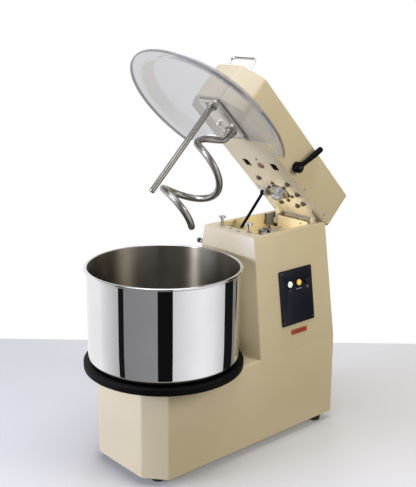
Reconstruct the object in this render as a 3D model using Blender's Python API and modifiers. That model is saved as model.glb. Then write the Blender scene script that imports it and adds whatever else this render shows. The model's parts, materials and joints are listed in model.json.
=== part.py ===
"""Spiral dough mixer with a lifting head, a fixed-column frame and a turning bowl.

Metres, +Z up, front towards -Y.  Every piece is laid out with the head shut; the head's
empty then raises the head by OPEN_ANGLE, which is how the machine stands at rest here.
Heights are from the floor and Y distances from the bowl's axis until the machine's own
empty moves the whole machine back by BOWL_AXIS_Y, so that the origin is under its middle.
"""
from math import asin, atan2, cos, hypot, pi, radians, sin

import bmesh
import bpy
from mathutils import Matrix, Vector

# Driving dimensions
BOWL_AXIS_Y = -0.19672          # world Y of the bowl's axis
GAP = 0.0003                    # air between pieces that touch
SHEET = 0.002                   # sheet metal of the body and the head
BEND = 0.004                    # rounding of the folded sheet's outer edges

FOOT_HEIGHT = 0.024
BASE_TOP = 0.264
BASE_HALF = 0.1495
BASE_FRONT = -0.150
BASE_REAR = 0.5235
NOSE_HALF = 0.093
NOSE_LENGTH = 0.0465
COLUMN_FRONT = 0.2165
COLUMN_FRONT_TOP = 0.2285
COLUMN_REAR_TOP = 0.515
COLUMN_HALF_TOP = 0.101
COLUMN_TOP = 0.597
DECK_OPENING = (0.088, 0.266, 0.5125)       # half width, front and rear

BOWL_RADIUS = 0.200
BOWL_FLOOR = 0.288
BOWL_RIM = 0.5425
BOWL_WALL = 0.002
BOWL_CORNER = 0.016
RIM_RADIUS = 0.2071
RING_RADIUS = 0.2126
RING_BOTTOM = 0.2685

HINGE_Y = 0.500
HINGE_Z = 0.573
OPEN_ANGLE = radians(45)
HEAD_HALF = 0.100
HEAD_NOSE_HALF = 0.044
HEAD_FRONT = -0.030
HEAD_NOSE_LENGTH = 0.0465
HEAD_REAR = 0.513
HEAD_BOTTOM = 0.6015
HEAD_TOP = 0.7125
UNDERPLATE_BOTTOM = HEAD_BOTTOM + GAP

LID_RADIUS = 0.2346
LID_RIM = 0.563
LID_REAR = 0.138                # chord that ends the lid behind the spiral
LID_SHEET = 0.0027

SPIRAL_Y = 0.100                # spiral's axis behind the bowl's axis
SPIRAL_RADIUS = 0.0596          # of the hook's centre line at its highest coil
SPIRAL_GROWTH = 0.0030          # wider by this much at its lowest coil
SPIRAL_ROD = 0.0092
SPIRAL_START = 246              # angle where the highest coil begins, in degrees
SPIRAL_TURNS = 1.40
SPIRAL_TOP = 0.5032
SPIRAL_DROP = 0.2035
DRIVE_Y = 0.375                 # vertical drive shaft's axis

CHAIN_PITCH = 0.009525
BOWL_TEETH = 88
DRIVE_TEETH = 11
HEAD_TEETH = 24
BOWL_CHAIN_Z = 0.063
HEAD_CHAIN_Z = 0.671

PIN_X = 0.054                   # latch pins and the slots that they enter
PIN_Y = 0.254
LATCH_Y = 0.276
LATCH_Z = 0.630

SENSOR = (0.0741, 0.309)        # the head sensor nose's X and Y

STRUT_X = -0.070
STRUT_LOW = (0.259, 0.480)      # lower pivot's Y and Z
STRUT_HIGH = (0.383, 0.590)     # upper pivot's Y and Z with the head shut

PANEL_Y = (0.3078, 0.4376)
PANEL_Z = (0.3355, 0.4895)
BUTTONS = (("start_button", 0.345, (0.86, 0.93, 0.88)),
           ("stop_button", 0.381, (0.92, 0.66, 0.20)),
           ("mode_button", 0.416, (0.10, 0.11, 0.14)))
BUTTON_Z = 0.449
BUTTON_RADIUS = 0.0085
GLAND = (-0.090, 0.080)         # mains lead gland's X and Z on the rear face

for old in list(bpy.data.objects):
    bpy.data.objects.remove(old, do_unlink=True)

parts = bpy.data.collections.new("spiral_mixer")
cutters = bpy.data.collections.new("cutters")
for collection in (parts, cutters):
    bpy.context.scene.collection.children.link(collection)


# ---------------------------------------------------------------- materials
def material(name, colour, roughness, metallic=0.0, alpha=1.0):
    made = bpy.data.materials.new(name)
    made.use_nodes = True
    shader = made.node_tree.nodes["Principled BSDF"]
    shader.inputs["Base Color"].default_value = (*colour, 1.0)
    shader.inputs["Roughness"].default_value = roughness
    shader.inputs["Metallic"].default_value = metallic
    shader.inputs["Alpha"].default_value = alpha
    return made


def cream_paint(piece):
    return material(piece + "_cream_paint", (0.76, 0.68, 0.50), 0.42)


def steel(piece, roughness=0.3):
    return material(piece + "_steel", (0.62, 0.62, 0.60), roughness, 1.0)


def polished_steel(piece):
    return material(piece + "_polished_steel", (0.78, 0.78, 0.77), 0.08, 1.0)


def black_plastic(piece):
    return material(piece + "_black_plastic", (0.02, 0.02, 0.022), 0.45)


def black_rubber(piece):
    return material(piece + "_black_rubber", (0.025, 0.025, 0.025), 0.8)


def cast_metal(piece):
    return material(piece + "_cast_metal", (0.33, 0.34, 0.35), 0.6, 1.0)


def clear_plastic(piece):
    return material(piece + "_clear_plastic", (0.85, 0.88, 0.92), 0.06, 0.0, 0.35)


# ------------------------------------------------------------------- frames
def frame(name, parent, place, turn=(0, 0, 0)):
    """An empty at a place given with the head shut, turned about itself."""
    empty = bpy.data.objects.new(name, None)
    empty.empty_display_size = 0.03
    parts.objects.link(empty)
    shut = Matrix.Translation(Vector(place))
    empty["shut"] = [value for row in shut for value in row]
    if parent:
        empty.parent = parent
        empty.matrix_parent_inverse = shut_matrix(parent).inverted()
    empty.location = place
    empty.rotation_euler = turn
    return empty


def shut_matrix(empty):
    values = list(empty["shut"])
    return Matrix([values[row * 4:row * 4 + 4] for row in range(4)])


def attach(item, parent):
    item.parent = parent
    item.matrix_parent_inverse = shut_matrix(parent).inverted()
    return item


# ------------------------------------------------------------ solid builders
def finish(name, mesh, parent, surface, smooth=30):
    """Name a mesh's object, give it its material and hang it on its frame."""
    mesh.name = name
    item = bpy.data.objects.new(name, mesh)
    parts.objects.link(item)
    if surface:
        mesh.materials.clear()
        mesh.materials.append(surface)
    mesh.shade_smooth()
    mesh.set_sharp_from_angle(angle=radians(smooth))
    return attach(item, parent)


def as_cutter(item):
    parts.objects.unlink(item)
    cutters.objects.link(item)
    item.hide_render = True
    item.display_type = "WIRE"
    return item


def combine(item, other, operation):
    tool = item.modifiers.new(operation.lower() + "_" + other.name, "BOOLEAN")
    tool.operation = operation
    tool.solver = "EXACT"
    tool.object = as_cutter(other)
    return item


def cut(item, *others):
    for other in others:
        combine(item, other, "DIFFERENCE")
    return item


def join(item, *others):
    for other in others:
        combine(item, other, "UNION")
    return item


def box_mesh(size, bevel=0.0):
    work = bmesh.new()
    bmesh.ops.create_cube(work, size=1.0)
    bmesh.ops.scale(work, vec=size, verts=work.verts)
    if bevel:
        bmesh.ops.bevel(work, geom=work.edges[:], offset=bevel, segments=2, affect="EDGES", profile=0.5)
    mesh = bpy.data.meshes.new("box")
    work.to_mesh(mesh)
    work.free()
    return mesh


def box(name, parent, surface, low, high, bevel=0.0, turn=(0, 0, 0)):
    """A block between two corners, turned about its middle."""
    size = [b - a for a, b in zip(low, high)]
    item = finish(name, box_mesh(size, bevel), parent, surface)
    item.location = [(a + b) / 2 for a, b in zip(low, high)]
    item.rotation_euler = turn
    return item


def cylinder(name, parent, surface, radius, low, high, segments=32):
    """A round bar between two points."""
    start, end = Vector(low), Vector(high)
    length = (end - start).length
    work = bmesh.new()
    bmesh.ops.create_cone(work, cap_ends=True, segments=segments, radius1=radius, radius2=radius,
                          depth=length)
    mesh = bpy.data.meshes.new("cylinder")
    work.to_mesh(mesh)
    work.free()
    item = finish(name, mesh, parent, surface)
    item.location = (start + end) / 2
    item.rotation_mode = "QUATERNION"
    item.rotation_quaternion = (end - start).to_track_quat("Z", "Y")
    return item


def turned(name, parent, surface, profile, place=(0, 0), steps=32, close=True, smooth=30):
    """A profile of (radius, height) points, outer side from top to bottom, turned about Z."""
    mesh = bpy.data.meshes.new(name)
    edges = [(i, i + 1) for i in range(len(profile) - 1)]
    if close:
        edges.append((len(profile) - 1, 0))
    mesh.from_pydata([(radius, 0, height) for radius, height in profile], edges, [])
    item = finish(name, mesh, parent, surface)
    item.location = (place[0], place[1], 0)
    screw = item.modifiers.new("turn", "SCREW")
    screw.steps = screw.render_steps = steps
    screw.use_merge_vertices = True
    screw.merge_threshold = 0.00001
    screw.use_smooth_shade = True
    return item


def evaluated_mesh(item):
    """A curve's evaluated form as a closed mesh; the curve itself is removed."""
    bpy.context.view_layer.update()
    depsgraph = bpy.context.evaluated_depsgraph_get()
    mesh = bpy.data.meshes.new_from_object(item.evaluated_get(depsgraph))
    mesh.transform(item.matrix_world)
    bpy.data.objects.remove(item, do_unlink=True)
    work = bmesh.new()
    work.from_mesh(mesh)
    bmesh.ops.remove_doubles(work, verts=work.verts, dist=0.000002)
    bmesh.ops.recalc_face_normals(work, faces=work.faces)
    work.to_mesh(mesh)
    work.free()
    return mesh


def curve_object(outlines, cyclic, dimensions):
    curve = bpy.data.curves.new("curve", "CURVE")
    curve.dimensions = dimensions
    for outline in outlines:
        spline = curve.splines.new("POLY")
        spline.points.add(len(outline) - 1)
        for point, place in zip(spline.points, outline):
            point.co = (*place, *([0.0] * (3 - len(place))), 1.0)
        spline.use_cyclic_u = cyclic
    item = bpy.data.objects.new("curve", curve)
    bpy.context.scene.collection.objects.link(item)
    return item


def plate_mesh(outlines, thickness):
    """Flat outlines in XY, the later ones being holes, as a slab centred on Z."""
    item = curve_object(outlines, True, "2D")
    item.data.fill_mode = "BOTH"
    item.data.extrude = thickness / 2
    return evaluated_mesh(item)


def slab(name, parent, surface, outlines, low, high, smooth=30):
    """A horizontal slab of the given outlines between two heights."""
    mesh = plate_mesh(outlines, high - low)
    item = finish(name, mesh, parent, surface, smooth)
    item.location = (0, 0, (low + high) / 2)
    return item


def side_slab(name, parent, surface, outlines, low, high, smooth=30):
    """A slab of outlines given in Y and Z, between two X values."""
    mesh = plate_mesh(outlines, high - low)
    mesh.transform(Matrix(((0, 0, 1, 0), (1, 0, 0, 0), (0, 1, 0, 0), (0, 0, 0, 1))))
    item = finish(name, mesh, parent, surface, smooth)
    item.location = ((low + high) / 2, 0, 0)
    return item


def rod(name, parent, surface, points, radius, resolution=4):
    """A round bar along points, with flat ends."""
    item = curve_object([points], False, "3D")
    item.data.bevel_depth = radius
    item.data.bevel_resolution = resolution
    item.data.use_fill_caps = True
    return finish(name, evaluated_mesh(item), parent, surface, 50)


def circle(centre, radius, count=32, start=0.0, sweep=2 * pi):
    closed = abs(sweep) > 2 * pi - 0.001
    steps = count if closed else count - 1
    return [(centre[0] + radius * cos(start + sweep * i / steps),
             centre[1] + radius * sin(start + sweep * i / steps)) for i in range(count)]


def rounded_rectangle(low, high, radius, count=4):
    corners = (((high[0] - radius, high[1] - radius), 0), ((low[0] + radius, high[1] - radius), 1),
               ((low[0] + radius, low[1] + radius), 2), ((high[0] - radius, low[1] + radius), 3))
    outline = []
    for centre, quarter in corners:
        outline += circle(centre, radius, count, quarter * pi / 2, pi / 2)
    return outline


def nose_outline(half, nose_half, front, nose_length, rear, inset=0.0):
    """A plan outline whose two front corners are cut off."""
    slope = hypot(half - nose_half, nose_length)
    across = inset * (1 - (half - nose_half) / slope) * slope / nose_length
    along = inset * (1 - nose_length / slope) * slope / (half - nose_half)
    return [(half - inset, rear - inset), (-half + inset, rear - inset),
            (-half + inset, front + nose_length + along), (-nose_half + across, front + inset),
            (nose_half - across, front + inset), (half - inset, front + nose_length + along)]


def pitch_radius(teeth):
    return CHAIN_PITCH / (2 * sin(pi / teeth))


def tooth_outline(teeth, centre=(0, 0)):
    """A sprocket's outline: a low point and a high point for each tooth."""
    outline = []
    for i in range(teeth * 2):
        radius = pitch_radius(teeth) + (0.0022 if i % 2 else -0.0022)
        angle = pi * i / teeth
        outline.append((centre[0] + radius * cos(angle), centre[1] + radius * sin(angle)))
    return outline


def chain_loop(centre_a, radius_a, centre_b, radius_b, offset, count):
    """The outline of a belt around two circles on the Y axis, offset from both."""
    tilt = asin((radius_a - radius_b) / (centre_b[1] - centre_a[1]))
    outline = circle(centre_a, radius_a + offset, count, pi - tilt, pi + 2 * tilt)
    return outline + circle(centre_b, radius_b + offset, count // 2, tilt, pi - 2 * tilt)


# ------------------------------------------------------------------- shells
def rear_y(height):
    """The straight rear wall's Y at a height."""
    lean = (BASE_REAR - COLUMN_REAR_TOP) / (COLUMN_TOP - FOOT_HEIGHT)
    return BASE_REAR - (height - FOOT_HEIGHT) * lean


def housing_mesh(inset, floor):
    """The base and its tapering column as one sharp-edged solid, every wall moved in by inset."""
    side = [(BASE_FRONT + inset, floor), (rear_y(floor) - inset, floor),
            (rear_y(COLUMN_TOP - inset) - inset, COLUMN_TOP - inset),
            (COLUMN_FRONT_TOP + inset, COLUMN_TOP - inset),
            (COLUMN_FRONT + inset, BASE_TOP - inset), (BASE_FRONT + inset, BASE_TOP - inset)]
    work = side_solid(side, BASE_HALF - inset)
    cut_nose(work, inset)
    taper_sides(work, inset)
    return mesh_from(work)


def base_mesh():
    """The base alone, its bends rounded."""
    side = [(BASE_FRONT, FOOT_HEIGHT), (rear_y(FOOT_HEIGHT), FOOT_HEIGHT), (rear_y(BASE_TOP), BASE_TOP),
            (BASE_FRONT, BASE_TOP)]
    work = side_solid(side, BASE_HALF)
    cut_nose(work, 0)
    round_edges(work, BEND, FOOT_HEIGHT)
    return mesh_from(work)


def column_mesh():
    """The column alone, reaching a little way down into the base, its bends rounded."""
    floor = BASE_TOP - 0.012
    lap = 0.00005
    side = [(COLUMN_FRONT, floor), (rear_y(floor) - lap, floor), (rear_y(COLUMN_TOP) - lap, COLUMN_TOP),
            (COLUMN_FRONT_TOP, COLUMN_TOP), (COLUMN_FRONT, BASE_TOP)]
    work = side_solid(side, BASE_HALF - lap)
    taper_sides(work, 0)
    round_edges(work, BEND, floor)
    return mesh_from(work)


def side_solid(outline, half):
    """A solid with an outline in Y and Z, reaching half to each side in X."""
    mesh = plate_mesh([outline], 2 * half)
    mesh.transform(Matrix(((0, 0, 1, 0), (1, 0, 0, 0), (0, 1, 0, 0), (0, 0, 0, 1))))
    work = bmesh.new()
    work.from_mesh(mesh)
    return work


def mesh_from(work):
    mesh = bpy.data.meshes.new("solid")
    work.to_mesh(mesh)
    work.free()
    return mesh


def cut_nose(work, inset):
    for sign in (-1, 1):
        corner = Vector((sign * NOSE_HALF, BASE_FRONT, 0))
        outward = Vector((sign * NOSE_LENGTH, NOSE_HALF - BASE_HALF, 0)).normalized()
        trim(work, corner - outward * inset, outward)


def taper_sides(work, inset):
    for sign in (-1, 1):
        crease = Vector((sign * BASE_HALF, 0, BASE_TOP))
        outward = Vector((sign * (COLUMN_TOP - BASE_TOP), 0, BASE_HALF - COLUMN_HALF_TOP)).normalized()
        trim(work, crease - outward * inset, outward)


def trim(work, point, outward):
    """Cut away what lies beyond a plane and close the cut."""
    everything = work.verts[:] + work.edges[:] + work.faces[:]
    result = bmesh.ops.bisect_plane(work, geom=everything, plane_co=point, plane_no=outward,
                                    clear_outer=True)
    rim = [item for item in result["geom_cut"] if isinstance(item, bmesh.types.BMEdge)]
    bmesh.ops.edgenet_fill(work, edges=rim)
    bmesh.ops.recalc_face_normals(work, faces=work.faces)


def round_edges(work, bend, floor):
    """Round every sharp edge except those at the open underside."""
    bmesh.ops.dissolve_limit(work, angle_limit=0.002, verts=work.verts, edges=work.edges)
    sharp = [edge for edge in work.edges
             if edge.is_manifold and edge.calc_face_angle() > radians(25)
             and not all(abs(vert.co.z - floor) < 0.0001 for vert in edge.verts)]
    bmesh.ops.bevel(work, geom=sharp, offset=bend, segments=3, affect="EDGES", profile=0.5)


def side_slope():
    """The column side's lean from upright, as an angle about Y."""
    return atan2(BASE_HALF - COLUMN_HALF_TOP, COLUMN_TOP - BASE_TOP)


def side_x(height):
    """The column side's X at a height above the base."""
    return BASE_HALF - (height - BASE_TOP) * (BASE_HALF - COLUMN_HALF_TOP) / (COLUMN_TOP - BASE_TOP)


def body_shell():
    shell = finish("body_shell", base_mesh(), machine, cream_paint("body_shell"), 40)
    column = finish("body_column", column_mesh(), machine, None)
    hollow = finish("body_hollow", housing_mesh(SHEET, -0.02), machine, None)
    half, front, rear = DECK_OPENING
    deck = box("deck_opening", machine, None, (-half, front, 0.58), (half, rear, 0.62))
    shaft_hole = cylinder("bowl_shaft_hole", machine, None, 0.036, (0, 0, 0.24), (0, 0, 0.28), 48)
    service = box("service_opening", machine, None, (-0.080, 0.49, 0.300), (0.080, 0.54, 0.540))
    lead_hole = cylinder("lead_hole", machine, None, 0.0065, (GLAND[0], 0.49, GLAND[1]),
                         (GLAND[0], 0.54, GLAND[1]), 20)
    middle = (PANEL_Z[0] + PANEL_Z[1]) / 2
    window = box("panel_window", machine, None, (side_x(middle) - 0.03, 0.325, 0.435),
                 (side_x(middle) + 0.03, 0.430, 0.463))
    return cut(join(shell, column), hollow, deck, shaft_hole, service, window, lead_hole)


def rear_panel():
    lean = atan2(BASE_REAR - COLUMN_REAR_TOP, COLUMN_TOP - FOOT_HEIGHT)
    middle = 0.420
    centre = rear_y(middle) + GAP + 0.00125
    panel = box("rear_panel", machine, cream_paint("rear_panel"), (-0.092, centre - 0.00125, middle - 0.137),
                (0.092, centre + 0.00125, middle + 0.137), 0, (lean, 0, 0))
    for i in range(8):
        height = 0.330 + 0.014 * i
        slot = box("rear_slot_%d" % i, machine, None, (-0.050, 0.50, height), (0.050, 0.54, height + 0.005))
        cut(panel, slot)
    return panel


def base_plate():
    outline = nose_outline(BASE_HALF, NOSE_HALF, BASE_FRONT, NOSE_LENGTH, BASE_REAR, SHEET + 0.0006)
    inspection = rounded_rectangle((-0.050, 0.130), (0.050, 0.230), 0.012)
    return slab("base_plate", machine, steel("base_plate", 0.5), [outline, inspection], 0.0268, 0.0298)


def foot(name, x, y):
    profile = [(0, 0.0264), (0.0135, 0.0264), (0.0145, 0.0200), (0.0170, 0.0060), (0.0170, 0.0020),
               (0.0150, 0), (0, 0)]
    return turned(name, machine, black_rubber(name), profile, (x, y), 16, False)


# --------------------------------------------------------------- bowl drive
def bowl_bearing_housing():
    profile = [(0.034, 0.2672), (0.034, 0.2617), (0.058, 0.2617), (0.058, 0.2540), (0.036, 0.2500),
               (0.030, 0.2400), (0.030, 0.1500), (0.0164, 0.1500), (0.0164, 0.2672)]
    return turned("bowl_bearing_housing", machine, cast_metal("bowl_bearing_housing"), profile)


def bowl_shaft():
    profile = [(0, 0.2784), (0.0115, 0.2784), (0.0115, 0.2735), (0.050, 0.2735), (0.050, 0.2685),
               (0.0160, 0.2685), (0.0160, 0.0750), (0.0120, 0.0750), (0.0120, 0.0450), (0, 0.0450)]
    return turned("bowl_shaft", bowl_axis, steel("bowl_shaft"), profile, (0, 0), 28, False)


def bowl_sprocket():
    hub = circle((0, 0), 0.0123, 24)
    windows = [circle((0.078 * cos(pi * i / 3), 0.078 * sin(pi * i / 3)), 0.026, 12) for i in range(6)]
    return slab("bowl_sprocket", bowl_axis, steel("bowl_sprocket", 0.45),
                [tooth_outline(BOWL_TEETH), hub] + windows, BOWL_CHAIN_Z - 0.003, BOWL_CHAIN_Z + 0.003)


def turntable_ring():
    top = BOWL_FLOOR - GAP
    profile = [(0.194, top), (RING_RADIUS - 0.003, top), (RING_RADIUS, top - 0.003),
               (RING_RADIUS, RING_BOTTOM + 0.003), (RING_RADIUS - 0.003, RING_BOTTOM),
               (0.198, RING_BOTTOM), (0.194, 0.2738), (0.0118, 0.2738), (0.0118, 0.2790),
               (0.056, 0.2790), (0.056, top), (0.064, top), (0.064, 0.2790), (0.190, 0.2790)]
    return turned("turntable_ring", bowl_axis, black_plastic("turntable_ring"), profile, (0, 0), 48)


def bowl():
    """A spun bowl: flat floor, rounded corner, straight wall and a rolled bead at the rim."""
    bead = 0.0035
    wall_top = BOWL_RIM - bead
    inner = BOWL_RADIUS - BOWL_WALL
    corner = (BOWL_RADIUS - BOWL_CORNER, BOWL_FLOOR + BOWL_CORNER)
    profile = [(0, BOWL_FLOOR + BOWL_WALL)]
    profile += circle(corner, BOWL_CORNER - BOWL_WALL, 4, -pi / 2, pi / 2)
    profile += circle((inner + bead, wall_top), bead, 3, pi, -pi / 2)
    profile += circle((RIM_RADIUS - bead, wall_top), bead, 4, pi / 2, -pi)
    profile.append((BOWL_RADIUS, wall_top - 2 * bead))
    profile += circle(corner, BOWL_CORNER, 4, 0, -pi / 2)
    profile.append((0, BOWL_FLOOR))
    return turned("bowl", bowl_axis, polished_steel("bowl"), profile, (0, 0), 48, False)


def motor():
    outline = []
    for i in range(64):
        radius = 0.055 if i % 4 in (0, 1) else 0.050
        outline.append((radius * cos(2 * pi * i / 64), 0.4500 + radius * sin(2 * pi * i / 64)))
    body = slab("motor", machine, cast_metal("motor"), [outline], 0.2403, 0.4000, 20)
    shaft = cylinder("motor_tail_shaft", machine, None, 0.008, (0, 0.45, 0.39), (0, 0.45, 0.415), 24)
    return join(body, shaft)


def motor_fan_cover():
    profile = [(0.048, 0.4500), (0.054, 0.4440), (0.054, 0.4003), (0.0515, 0.4003), (0.0515, 0.4430),
               (0.046, 0.4475), (0.012, 0.4475), (0.012, 0.4500)]
    return turned("motor_fan_cover", machine, black_plastic("motor_fan_cover"), profile, (0, 0.45), 24)


def gearbox():
    case = box("gearbox", machine, cast_metal("gearbox"), (-0.060, 0.325, 0.150),
               (0.060, 0.508, 0.240), 0.006)
    bore = cylinder("gearbox_bore", machine, None, 0.0124, (0, DRIVE_Y, 0.14), (0, DRIVE_Y, 0.25))
    return cut(case, bore)


def motor_bracket():
    """A bridge that carries the gearbox above the base plate, clear of the chain."""
    top = box("motor_bracket", machine, steel("motor_bracket", 0.5), (-0.100, 0.330, 0.1437),
              (0.100, 0.505, 0.1497))
    legs = [box("bracket_leg_%d" % i, machine, None, (x, 0.330, 0.0301), (x + 0.005, 0.505, 0.147))
            for i, x in enumerate((-0.100, 0.095))]
    bore = cylinder("bracket_bore", machine, None, 0.022, (0, DRIVE_Y, 0.13), (0, DRIVE_Y, 0.16))
    return cut(join(top, *legs), bore)


def drive_shaft():
    profile = [(0, 0.5607), (0.010, 0.5607), (0.010, 0.2450), (0.012, 0.2450), (0.012, 0.0800),
               (0.009, 0.0800), (0.009, 0.0450), (0, 0.0450)]
    return turned("drive_shaft", drive_axis, steel("drive_shaft"), profile, (0, DRIVE_Y), 20, False)


def lower_coupling():
    profile = [(0, 0.5780), (0.0195, 0.5780), (0.0210, 0.5765), (0.0210, 0.5640), (0.0180, 0.5610),
               (0, 0.5610)]
    half = turned("lower_coupling", drive_axis, cast_metal("lower_coupling"), profile, (0, DRIVE_Y),
                  28, False)
    slot = box("coupling_slot", drive_axis, None, (-0.04, DRIVE_Y - 0.007, 0.5705),
               (0.04, DRIVE_Y + 0.007, 0.60))
    return cut(half, slot)


def sprocket(name, parent, teeth, centre, height, bore):
    outlines = [tooth_outline(teeth, centre), circle(centre, bore, 24)]
    return slab(name, parent, steel(name, 0.4), outlines, height - 0.003, height + 0.003)


def chain(name, centre_a, teeth_a, centre_b, teeth_b, height, parent, count):
    radius_a, radius_b = pitch_radius(teeth_a), pitch_radius(teeth_b)
    outer = chain_loop(centre_a, radius_a, centre_b, radius_b, 0.0075, count)
    inner = chain_loop(centre_a, radius_a, centre_b, radius_b, 0.0027, count)
    return slab(name, parent, steel(name, 0.5), [outer, inner], height - 0.004, height + 0.004)


# ------------------------------------------------------------------- column
def hinge_bracket(name, side):
    """A cheek plate hung under the deck edge that holds one end of the hinge shaft."""
    outline = [(0.470, 0.5947), (0.470, 0.560), (0.492, 0.548), (0.506, 0.548), (0.5127, 0.556),
               (0.5115, 0.5947)]
    bore = circle((HINGE_Y, HINGE_Z), 0.0073, 24)
    inner, outer = side * 0.0890, side * 0.0950
    return side_slab(name, machine, cast_metal(name), [outline, bore], min(inner, outer), max(inner, outer))


def hinge_cross_plate():
    """An upright plate between the hinge brackets, in front of the shaft and between the head's lugs."""
    half, half_top = 0.0885, 0.0585
    low, shoulder, top = 0.5200, 0.5570, 0.5940
    outline = [(-half, low), (half, low), (half, shoulder), (half_top, shoulder), (half_top, top),
               (-half_top, top), (-half_top, shoulder), (-half, shoulder)]
    mesh = plate_mesh([outline, circle((0.0330, 0.5845), 0.0030, 16)], 0.003)
    mesh.transform(Matrix.Rotation(pi / 2, 4, "X"))
    plate = finish("hinge_cross_plate", mesh, machine, cream_paint("hinge_cross_plate"))
    plate.location = (0, 0.4855, 0)
    return plate


def hinge_shaft():
    return cylinder("hinge_shaft", machine, steel("hinge_shaft"), 0.007, (-0.0985, HINGE_Y, HINGE_Z),
                    (0.0985, HINGE_Y, HINGE_Z))


def latch_pin(name, x):
    profile = [(0, 0.6255), (0.0087, 0.6255), (0.0102, 0.6240), (0.0102, 0.6205), (0.0042, 0.6190),
               (0.0042, 0.6010), (0.0080, 0.6005), (0.0080, 0.5973), (0, 0.5973)]
    return turned(name, machine, polished_steel(name), profile, (x, PIN_Y), 16, False)


def switch_bracket():
    """A cranked steel strip under the deck's right edge that carries the head sensor."""
    outline = [(0.097, 0.286), (0.097, 0.330), (0.070, 0.345), (0.052, 0.388), (0.044, 0.384),
               (0.060, 0.335), (0.066, 0.286)]
    return slab("switch_bracket", machine, steel("switch_bracket"), [outline, circle(SENSOR, 0.0046, 20)],
                0.5922, 0.5947)


def head_switch():
    """The sensor that feels the shut head, hung under its strip with its nose through it."""
    x, y = SENSOR
    block = box("head_switch", machine, black_plastic("head_switch"), (x - 0.0060, y - 0.0170, 0.5710),
                (x + 0.0060, y + 0.0170, 0.5919), 0.001)
    nose = cylinder("switch_nose", machine, None, 0.0040, (x, y, 0.585), (x, y, 0.5990), 20)
    return join(block, nose)


def strut_lower_bracket():
    plate = box("strut_lower_bracket", machine, steel("strut_lower_bracket", 0.5),
                (STRUT_X + 0.0085, 0.2272, 0.4650), (STRUT_X + 0.0125, 0.2680, 0.4950))
    pin = cylinder("strut_lower_pin", machine, None, 0.0030, (STRUT_X - 0.007, *STRUT_LOW),
                   (STRUT_X + 0.010, *STRUT_LOW), 20)
    return join(plate, pin)


def along_strut(distance):
    """A point on the open strut, at a distance from its lower pivot."""
    high = Vector((STRUT_X, *STRUT_HIGH)) - Vector((0, HINGE_Y, HINGE_Z))
    raised = Matrix.Rotation(-OPEN_ANGLE, 3, "X") @ high + Vector((0, HINGE_Y, HINGE_Z))
    low = Vector((STRUT_X, *STRUT_LOW))
    return low + (raised - low).normalized() * distance


def strut_length():
    high = Vector((0, STRUT_HIGH[0] - HINGE_Y, STRUT_HIGH[1] - HINGE_Z))
    raised = Matrix.Rotation(-OPEN_ANGLE, 3, "X") @ high + Vector((0, HINGE_Y, HINGE_Z))
    return hypot(raised.y - STRUT_LOW[0], raised.z - STRUT_LOW[1])


def strut_rod():
    bar = cylinder("strut_rod", strut_pivot, polished_steel("strut_rod"), 0.0025, along_strut(0.006),
                   along_strut(0.145), 20)
    eye = cylinder("strut_rod_eye", strut_pivot, None, 0.0075, (STRUT_X - 0.005, *STRUT_LOW),
                   (STRUT_X + 0.005, *STRUT_LOW), 24)
    bore = cylinder("strut_rod_bore", strut_pivot, None, 0.0034, (STRUT_X - 0.01, *STRUT_LOW),
                    (STRUT_X + 0.01, *STRUT_LOW), 20)
    return cut(join(bar, eye), bore)


def strut_cylinder():
    """The gas spring's tube, open below for its rod, with a ball stud at the top."""
    length = strut_length()
    tube = cylinder("strut_cylinder", strut_slide, black_plastic("strut_cylinder"), 0.0043,
                    along_strut(length - 0.127), along_strut(length - 0.004), 24)
    bore = cylinder("strut_bore", strut_slide, None, 0.0029, along_strut(length - 0.140),
                    along_strut(length - 0.0155), 20)
    top = along_strut(length)
    cup = cylinder("strut_cup", strut_slide, None, 0.0070, top - Vector((0.0060, 0, 0)),
                   top + Vector((0.0060, 0, 0)), 24)
    stud = cylinder("strut_stud", strut_slide, None, 0.0032, top, top + Vector((0.0117, 0, 0)), 20)
    return join(cut(tube, bore), cup, stud)


def control_panel():
    """The dark switch plate on the column's sloping right side, with holes for the buttons."""
    middle = sum(PANEL_Z) / 2
    width = PANEL_Y[1] - PANEL_Y[0]
    tall = (PANEL_Z[1] - PANEL_Z[0]) / cos(side_slope())
    outlines = [rounded_rectangle((-width / 2, -tall / 2), (width / 2, tall / 2), 0.003)]
    for name, y, colour in BUTTONS:
        across = y - sum(PANEL_Y) / 2
        outlines.append(circle((across, (BUTTON_Z - middle) / cos(side_slope())), BUTTON_RADIUS + 0.0006, 16))
    mesh = plate_mesh(outlines, 0.004)
    item = finish("control_panel", mesh, machine, material("control_panel_navy", (0.035, 0.042, 0.075), 0.3))
    return place_on_side(item, sum(PANEL_Y) / 2, middle, 0.002 + GAP)


def place_on_side(item, y, height, out):
    """Lay a slab flat on the sloping right side of the column."""
    lean = side_slope()
    across = Matrix(((0, 0, 1), (1, 0, 0), (0, 1, 0)))
    turn = Matrix.Rotation(-lean, 3, "Y") @ across
    item.rotation_mode = "QUATERNION"
    item.rotation_quaternion = turn.to_quaternion()
    item.location = (side_x(height) + out * cos(lean), y, height + out * sin(lean))
    return item


def push_button(name, y, colour, parent):
    profile = [(0, 0.0042), (0.0060, 0.0042), (BUTTON_RADIUS - 0.0006, 0.0034), (BUTTON_RADIUS, 0.0022),
               (BUTTON_RADIUS, -0.0070), (0.0045, -0.0070), (0.0045, -0.0130), (0, -0.0130)]
    item = turned(name, parent, material(name + "_lens", colour, 0.25), profile, (0, 0), 16, False)
    return place_on_side(item, y, BUTTON_Z, 0.004 + GAP)


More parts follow.
